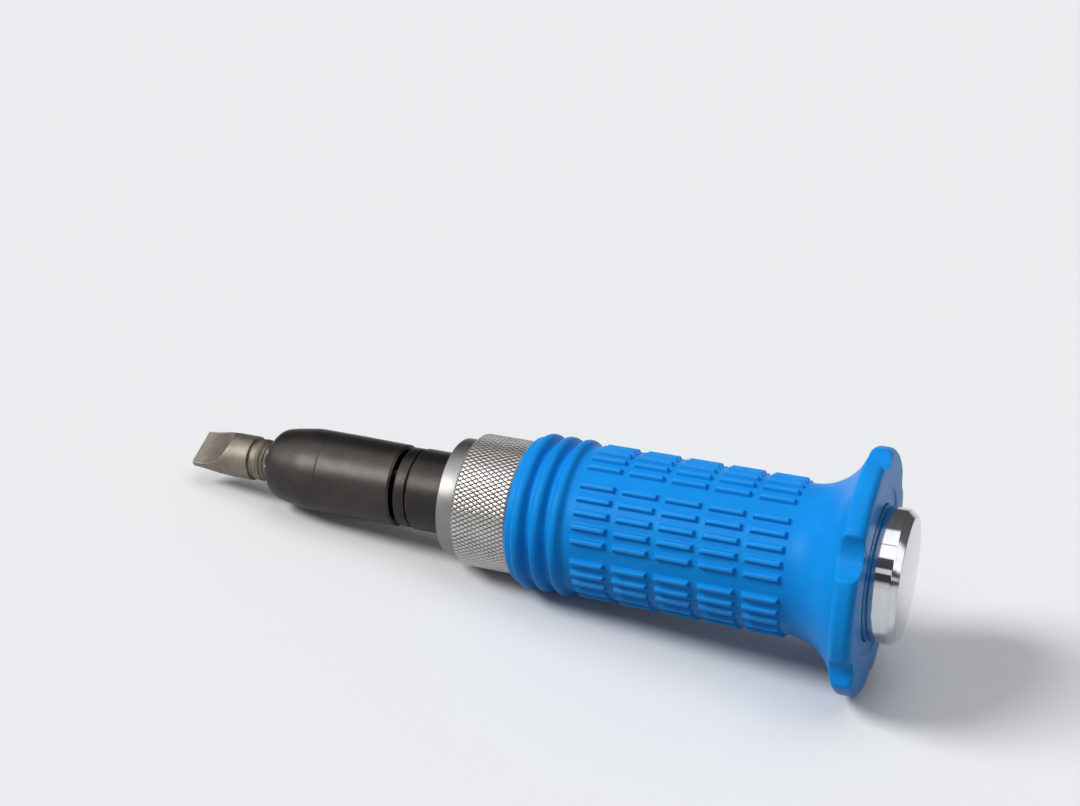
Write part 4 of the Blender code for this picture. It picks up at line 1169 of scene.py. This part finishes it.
def plastic_finish(settings):
    """Blue moulding with a soft sheen tinted blue as a painted reflection: fine texture, faint flow
    marks, bar tops lightened as a painted highlight.
    """
    finish = Finish("blue_moulding")
    spot = finish.spot()
    cloud = finish.noise(spot, 90.0, 3.0, 0.5)
    skin = finish.noise(spot, 2600.0, 3.0, 0.55)
    scuffs = finish.streaks(spot, 1500.0, 240.0, 3.0, 0.6)
    scuffs = finish.ranged(scuffs, 0.64, 0.8)
    tone = clear_colour(settings.blue)
    deep = (0.8 * tone[0], 0.86 * tone[1], 0.93 * tone[2])
    base = finish.mixed(finish.ranged(cloud, 0.3, 0.7), deep, tone)
    # Lighter on the bar tops: painted highlight.
    lightening = finish.ranged(finish.attribute("wear") + 0.4 * skin, 0.9, 1.3)
    highlight_tone = (tone[0] + 0.03, tone[1] + 0.05, tone[2] + 0.05)
    base = finish.mixed(0.5 * lightening, base, highlight_tone)
    finish.set(Base_Color=finish.mixed(0.12 * scuffs, base, SCUFFED_PLASTIC))
    finish.set(Roughness=finish.ranged(skin + 0.5 * cloud, 0.5, 1.0, 0.36, 0.46) + 0.1 * scuffs)
    # The gloss is tinted blue: painted reflection.
    finish.set(IOR=1.42, Specular_IOR_Level=0.3, Specular_Tint=BLUE_REFLECTION_TINT)
    finish.set(Normal=finish.bumped(skin, 0.00001, 0.5))
    return finish.material


def rubber_finish():
    """Matt black rubber of the seal and the rings."""
    finish = Finish("black_rubber")
    grain = finish.noise(finish.spot(), 3800.0, 3.0, 0.6)
    finish.set(Base_Color=finish.mixed(grain, *RUBBER_TONES))
    finish.set(Roughness=finish.ranged(grain, 0.3, 0.7, 0.6, 0.8))
    finish.set(Normal=finish.bumped(grain, 0.00002, 0.4))
    return finish.material


# Settings that a user would change


def colour_setting(name, description, default):
    """A colour that a user would change."""
    kind = {"subtype": "COLOR", "size": 3, "min": 0, "max": 1}
    return FloatVectorProperty(name=name, description=description, default=default, **kind)


def length_setting(name, description, low, high, default):
    """A length between two limits."""
    limits = {"min": low, "max": high, "unit": "LENGTH", "precision": 5}
    return FloatProperty(name=name, description=description, default=default, **limits)


def power_setting(name, description, default):
    """A lamp's strength."""
    return FloatProperty(name=name, description=description, default=default, min=0)


class DriverFinishes(bpy.types.PropertyGroup):
    """Colours and sizes of the driver's pieces."""

    blue: colour_setting("Grip blue", "Colour of the grip's moulding", (0.003, 0.24, 0.67))
    bit_colour: colour_setting("Bit steel", "Colour of the bit's phosphate", (0.27, 0.235, 0.196))
    black_colour: colour_setting("Black oxide", "Colour of the holder", (0.05, 0.0475, 0.0455))
    ring_colour: colour_setting("Ring steel", "Colour of the bare front ring", (0.27, 0.267, 0.264))
    knurl_colour: colour_setting("Knurl nickel", "Colour of the collar's plating", (0.56, 0.547, 0.525))
    bar_rise: length_setting("Bar height", "Height of the grip's bars", 0.0002, 0.002, 0.001)
    knurl_ribs: IntProperty(
        name="Knurl ribs",
        description="Grooves of one hand round the collar",
        min=20,
        max=160,
        default=88,
    )
    knurl_depth: length_setting("Knurl depth", "Depth of the knurl's grooves", 0.00005, 0.0005, 0.00026)


class DriverStage(bpy.types.PropertyGroup):
    """Floor, lamps and camera."""

    floor_colour: colour_setting("Floor", "Colour of the pale floor", (0.78, 0.79, 0.8))
    key_power: power_setting("Key lamp", "Strength of the near lamp, for matt surfaces", 2.9)
    top_power: power_setting("Top lamp", "Strength of the overhead lamp, for matt surfaces", 0.7)
    sheen_power: power_setting("Sheen lamp", "Strength of the near lamp for gloss", 2.0)
    camera_place: FloatVectorProperty(
        name="Camera place",
        description="Where the camera stands",
        subtype="TRANSLATION",
        unit="LENGTH",
        default=(0.117703, -0.333862, 0.198509),
    )
    camera_turn: FloatVectorProperty(
        name="Camera turn",
        description="How the camera is turned",
        subtype="EULER",
        unit="ROTATION",
        default=(math.radians(66.6009), math.radians(-6.8576), math.radians(22.4697)),
    )
    camera_lens: FloatProperty(
        name="Lens",
        description="Focal length for a 36 mm wide picture",
        unit="CAMERA",
        min=10,
        max=200,
        default=54.259,
    )


# Pieces


def add_piece(name, skin, material, body, nodes):
    """Make a piece from a skin, with its finish, and fix it to its CAD body in place of nodes."""
    made = bpy.data.objects.new(name, skin.mesh(name))
    bpy.context.scene.collection.objects.link(made)
    made.data.materials.append(material)
    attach(made, body)
    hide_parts(*nodes)


def refinish(nodes, material):
    """Give CAD nodes that stay as they are a new finish."""
    for node in nodes:
        data = frame["nodes"][node].data
        data.materials.clear()
        data.materials.append(material)


class PieceOperator:
    """What every operator of a piece shares."""

    bl_options = {"REGISTER", "UNDO"}

    def execute(self, context):
        self.make(context.scene.driver_finishes)
        return {"FINISHED"}


class DRIVER_OT_bit(PieceOperator, bpy.types.Operator):
    """Build the slotted bit"""

    bl_idname = "driver.bit"
    bl_label = "Slotted bit"

    def make(self, finishes):
        material = phosphate_finish(finishes)
        add_piece("slotted_bit_body", bit_skin(), material, "bit", ["slotted_bit"])


class DRIVER_OT_holder(PieceOperator, bpy.types.Operator):
    """Build the bit holder"""

    bl_idname = "driver.holder"
    bl_label = "Bit holder"

    def make(self, finishes):
        material = black_finish("black_oxide", clear_colour(finishes.black_colour))
        add_piece("bit_holder_body", holder_skin(), material, "holder", ["bit_holder"])


class DRIVER_OT_spindle(PieceOperator, bpy.types.Operator):
    """Build the spindle with its square drive and cam, and the detent ball"""

    bl_idname = "driver.spindle"
    bl_label = "Spindle and detent"

    def make(self, finishes):
        # The spindle gets a darker copy of the holder's oxide: painted shade.
        tone = tuple(SPINDLE_SHADE * value for value in clear_colour(finishes.black_colour))
        material = black_finish("spindle_oxide_shaded", tone)
        add_piece("spindle_body", spindle_skin(), material, "spindle", ["spindle"])
        steel = turned_finish("ball_steel", BALL_STEEL, 900.0, 0.16, 0.000002)
        add_piece("detent_ball_body", ball_skin(), steel, "detent", ["detent_ball"])


class DRIVER_OT_front_ring(PieceOperator, bpy.types.Operator):
    """Build the satin front ring"""

    bl_idname = "driver.front_ring"
    bl_label = "Front ring"

    def make(self, finishes):
        colour = clear_colour(finishes.ring_colour)
        material = turned_finish("ring_satin", colour, 6500.0, 0.42, 0.000012)
        add_piece("front_ring_body", ring_skin(), material, "barrel", ["front_ring"])


class DRIVER_OT_collar(PieceOperator, bpy.types.Operator):
    """Build the knurled collar"""

    bl_idname = "driver.collar"
    bl_label = "Knurled collar"

    def make(self, finishes):
        skin = collar_skin(finishes.knurl_ribs, finishes.knurl_depth)
        material = knurl_finish(finishes)
        add_piece("knurled_collar_body", skin, material, "barrel", ["knurled_collar"])


class DRIVER_OT_grip(PieceOperator, bpy.types.Operator):
    """Build the grip sleeve with its bars and hand guard"""

    bl_idname = "driver.grip"
    bl_label = "Grip sleeve"

    def make(self, finishes):
        skin = grip_skin(finishes.bar_rise)
        material = plastic_finish(finishes)
        add_piece("grip_moulding", skin, material, "barrel", ["grip_sleeve"])


class DRIVER_OT_head(PieceOperator, bpy.types.Operator):
    """Build the chrome striking head"""

    bl_idname = "driver.head"
    bl_label = "Striking head"

    def make(self, finishes):
        material = chrome_finish()
        add_piece("striking_head_body", head_skin(), material, "barrel", ["striking_head"])


class DRIVER_OT_inner_pieces(PieceOperator, bpy.types.Operator):
    """Finish the pieces inside the barrel"""

    bl_idname = "driver.inner_pieces"
    bl_label = "Inner pieces"

    def make(self, finishes):
        bare = turned_finish("inner_steel", BARE_STEEL, 4200.0, 0.3, 0.00001)
        dark = turned_finish("spring_wire", SPRING_STEEL, 1600.0, 0.36, 0.00001)
        bronze = turned_finish("bush_bronze", BRONZE, 3600.0, 0.38, 0.00001)
        nickel = turned_finish("magnet_nickel", MAGNET_NICKEL, 5200.0, 0.24, 0.000006)
        refinish(["body_barrel", "cam_pin_near", "cam_pin_far", "spring_cup", "rear_washer"], bare)
        refinish(["detent_spring", "compression_spring", "bush_circlip"], dark)
        refinish(["front_bush", "thrust_washer"], bronze)
        refinish(["socket_magnet"], nickel)
        refinish(["dust_seal", "head_o_ring", "collar_o_ring"], rubber_finish())


# Stage

FLOOR_HALF = 6.0
FLOOR_THROW = 0.4
KEY_AWAY = (-0.68, -0.41, 0.61)
KEY_WIDTH = math.radians(24)
TOP_AWAY = (0.1, 0.07, 1.0)
TOP_WIDTH = math.radians(50)
SHEEN_AWAY = (-0.52, -0.66, 0.54)
SHEEN_WIDTH = math.radians(26)
BACKDROP = (0.86, 0.87, 0.88)
AMBIENT = (0.3, 0.305, 0.315)
HORIZON_BANDS = ((0.0, 0.8), (0.045, 0.7), (0.075, 0.06), (0.135, 0.05))
STRIP_BANDS = ((0.145, 0.9), (0.18, 0.9), (0.19, 0.07), (0.28, 0.1))
PANEL_BANDS = ((0.29, 1.7), (0.41, 1.7), (0.413, 0.5), (0.421, 0.5), (0.424, 1.7), (0.57, 1.5))
FAR_BANDS = ((0.6, 0.16), (0.94, 0.1), (0.98, 0.7))
ROOM_BANDS = HORIZON_BANDS + STRIP_BANDS + PANEL_BANDS + FAR_BANDS


def add_lamp(name, away, width, power, diffuse=True, glossy=True):
    """A far lamp in a direction, so wide as seen from the tool, for matt surfaces or gloss."""
    data = bpy.data.lights.new(name, "SUN")
    data.angle = width
    data.energy = power
    lamp = bpy.data.objects.new(name, data)
    bpy.context.scene.collection.objects.link(lamp)
    lamp.rotation_euler = Vector(away).to_track_quat("Z", "Y").to_euler()
    lamp.visible_diffuse = diffuse
    lamp.visible_glossy = glossy


def floor_finish(colour):
    """Pale matt paper with a faint grain, which throws less light on the tool than it shows."""
    finish = Finish("pale_floor")
    here = finish.add("ShaderNodeTexCoord", output="Object")
    grain = finish.noise(here, 900.0, 3.0, 0.6)
    shade = tuple(0.97 * value for value in colour)
    soft = finish.add("ShaderNodeLightPath", output="Is Diffuse Ray")
    thrown = tuple(FLOOR_THROW * value for value in colour)
    paper = finish.mixed(grain, shade, colour)
    finish.set(Base_Color=finish.mixed(soft, paper, thrown))
    finish.set(Roughness=0.85, Specular_IOR_Level=0.2)
    return finish.material


def light_world():
    """A pale room: plain for the camera, even for soft light, and with lit panels for gloss.

    Gloss sees the backdrop near the horizon, then bands by the angle about the tool's
    length, measured from the near side over the top to the far side.
    """
    world = bpy.data.worlds.new("room")
    bpy.context.scene.world = world
    world.use_nodes = True
    tree = world.node_tree
    room = Finish("room", tree)
    camera = room.add("ShaderNodeLightPath", output="Is Camera Ray")
    glossy = room.add("ShaderNodeLightPath", output="Is Glossy Ray")
    direction = room.add("ShaderNodeTexCoord", output="Generated")
    height = room.add("ShaderNodeSeparateXYZ", None, {0: direction}, "Z")
    toward = room.add("ShaderNodeSeparateXYZ", None, {0: direction}, "Y")
    angle = height.math("ARCTAN2", height, 0.0 - toward) / math.pi
    stops = [(angle_share, (value, value, 1.02 * value)) for angle_share, value in ROOM_BANDS]
    shade = room.add("ShaderNodeValToRGB", {"stops": stops}, {0: angle}, "Color")
    colour = room.mixed(glossy, AMBIENT, shade)
    colour = room.mixed(camera, colour, BACKDROP)
    background = tree.nodes["Background"]
    room.feed(background.inputs["Color"], colour)
    room.feed(background.inputs["Strength"], 1.0)


class DRIVER_OT_stage(bpy.types.Operator):
    """Lay the floor, light the tool and set the camera"""

    bl_idname = "driver.stage"
    bl_label = "Floor, lamps and camera"
    bl_options = {"REGISTER", "UNDO"}

    def execute(self, context):
        settings = context.scene.driver_stage
        half = FLOOR_HALF
        mesh = bpy.data.meshes.new("floor")
        corners = [(-half, -half, 0), (half, -half, 0), (half, half, 0), (-half, half, 0)]
        mesh.from_pydata(corners, [], [(0, 1, 2, 3)])
        floor = bpy.data.objects.new("floor", mesh)
        context.scene.collection.objects.link(floor)
        mesh.materials.append(floor_finish(clear_colour(settings.floor_colour)))
        add_lamp("key", KEY_AWAY, KEY_WIDTH, settings.key_power, glossy=False)
        add_lamp("top", TOP_AWAY, TOP_WIDTH, settings.top_power, glossy=False)
        add_lamp("sheen", SHEEN_AWAY, SHEEN_WIDTH, settings.sheen_power, diffuse=False)
        light_world()
        data = bpy.data.cameras.new("camera")
        data.sensor_fit = "HORIZONTAL"
        data.sensor_width = 36
        data.lens = settings.camera_lens
        data.clip_start = 0.01
        camera = bpy.data.objects.new("camera", data)
        context.scene.collection.objects.link(camera)
        camera.location = settings.camera_place
        camera.rotation_euler = settings.camera_turn
        context.scene.camera = camera
        context.scene.view_settings.view_transform = "Standard"
        return {"FINISHED"}


class DRIVER_PT_panel(bpy.types.Panel):
    """Lists what the add-on builds"""

    bl_idname = "DRIVER_PT_panel"
    bl_label = "Hand impact driver"
    bl_space_type = "VIEW_3D"
    bl_region_type = "UI"
    bl_category = "Driver"

    def draw(self, context):
        for operator in OPERATORS:
            self.layout.operator(operator.bl_idname)
        for settings in (context.scene.driver_finishes, context.scene.driver_stage):
            box = self.layout.box()
            for name in settings.__annotations__:
                box.prop(settings, name)


OPERATORS = (
    DRIVER_OT_stage,
    DRIVER_OT_bit,
    DRIVER_OT_holder,
    DRIVER_OT_spindle,
    DRIVER_OT_front_ring,
    DRIVER_OT_collar,
    DRIVER_OT_grip,
    DRIVER_OT_head,
    DRIVER_OT_inner_pieces,
)
CLASSES = (DriverFinishes, DriverStage, *OPERATORS, DRIVER_PT_panel)


def register():
    """Register the classes and their settings."""
    for each in CLASSES:
        bpy.utils.register_class(each)
    bpy.types.Scene.driver_finishes = PointerProperty(type=DriverFinishes)
    bpy.types.Scene.driver_stage = PointerProperty(type=DriverStage)


def unregister():
    """Take the settings and classes away again."""
    del bpy.types.Scene.driver_stage
    del bpy.types.Scene.driver_finishes
    for each in reversed(CLASSES):
        bpy.utils.unregister_class(each)


def main():
    """Register the add-on and build everything."""
    register()
    for operator in OPERATORS:
        group, name = operator.bl_idname.split(".")
        getattr(getattr(bpy.ops, group), name)()


if __name__ == "__main__":
    main()
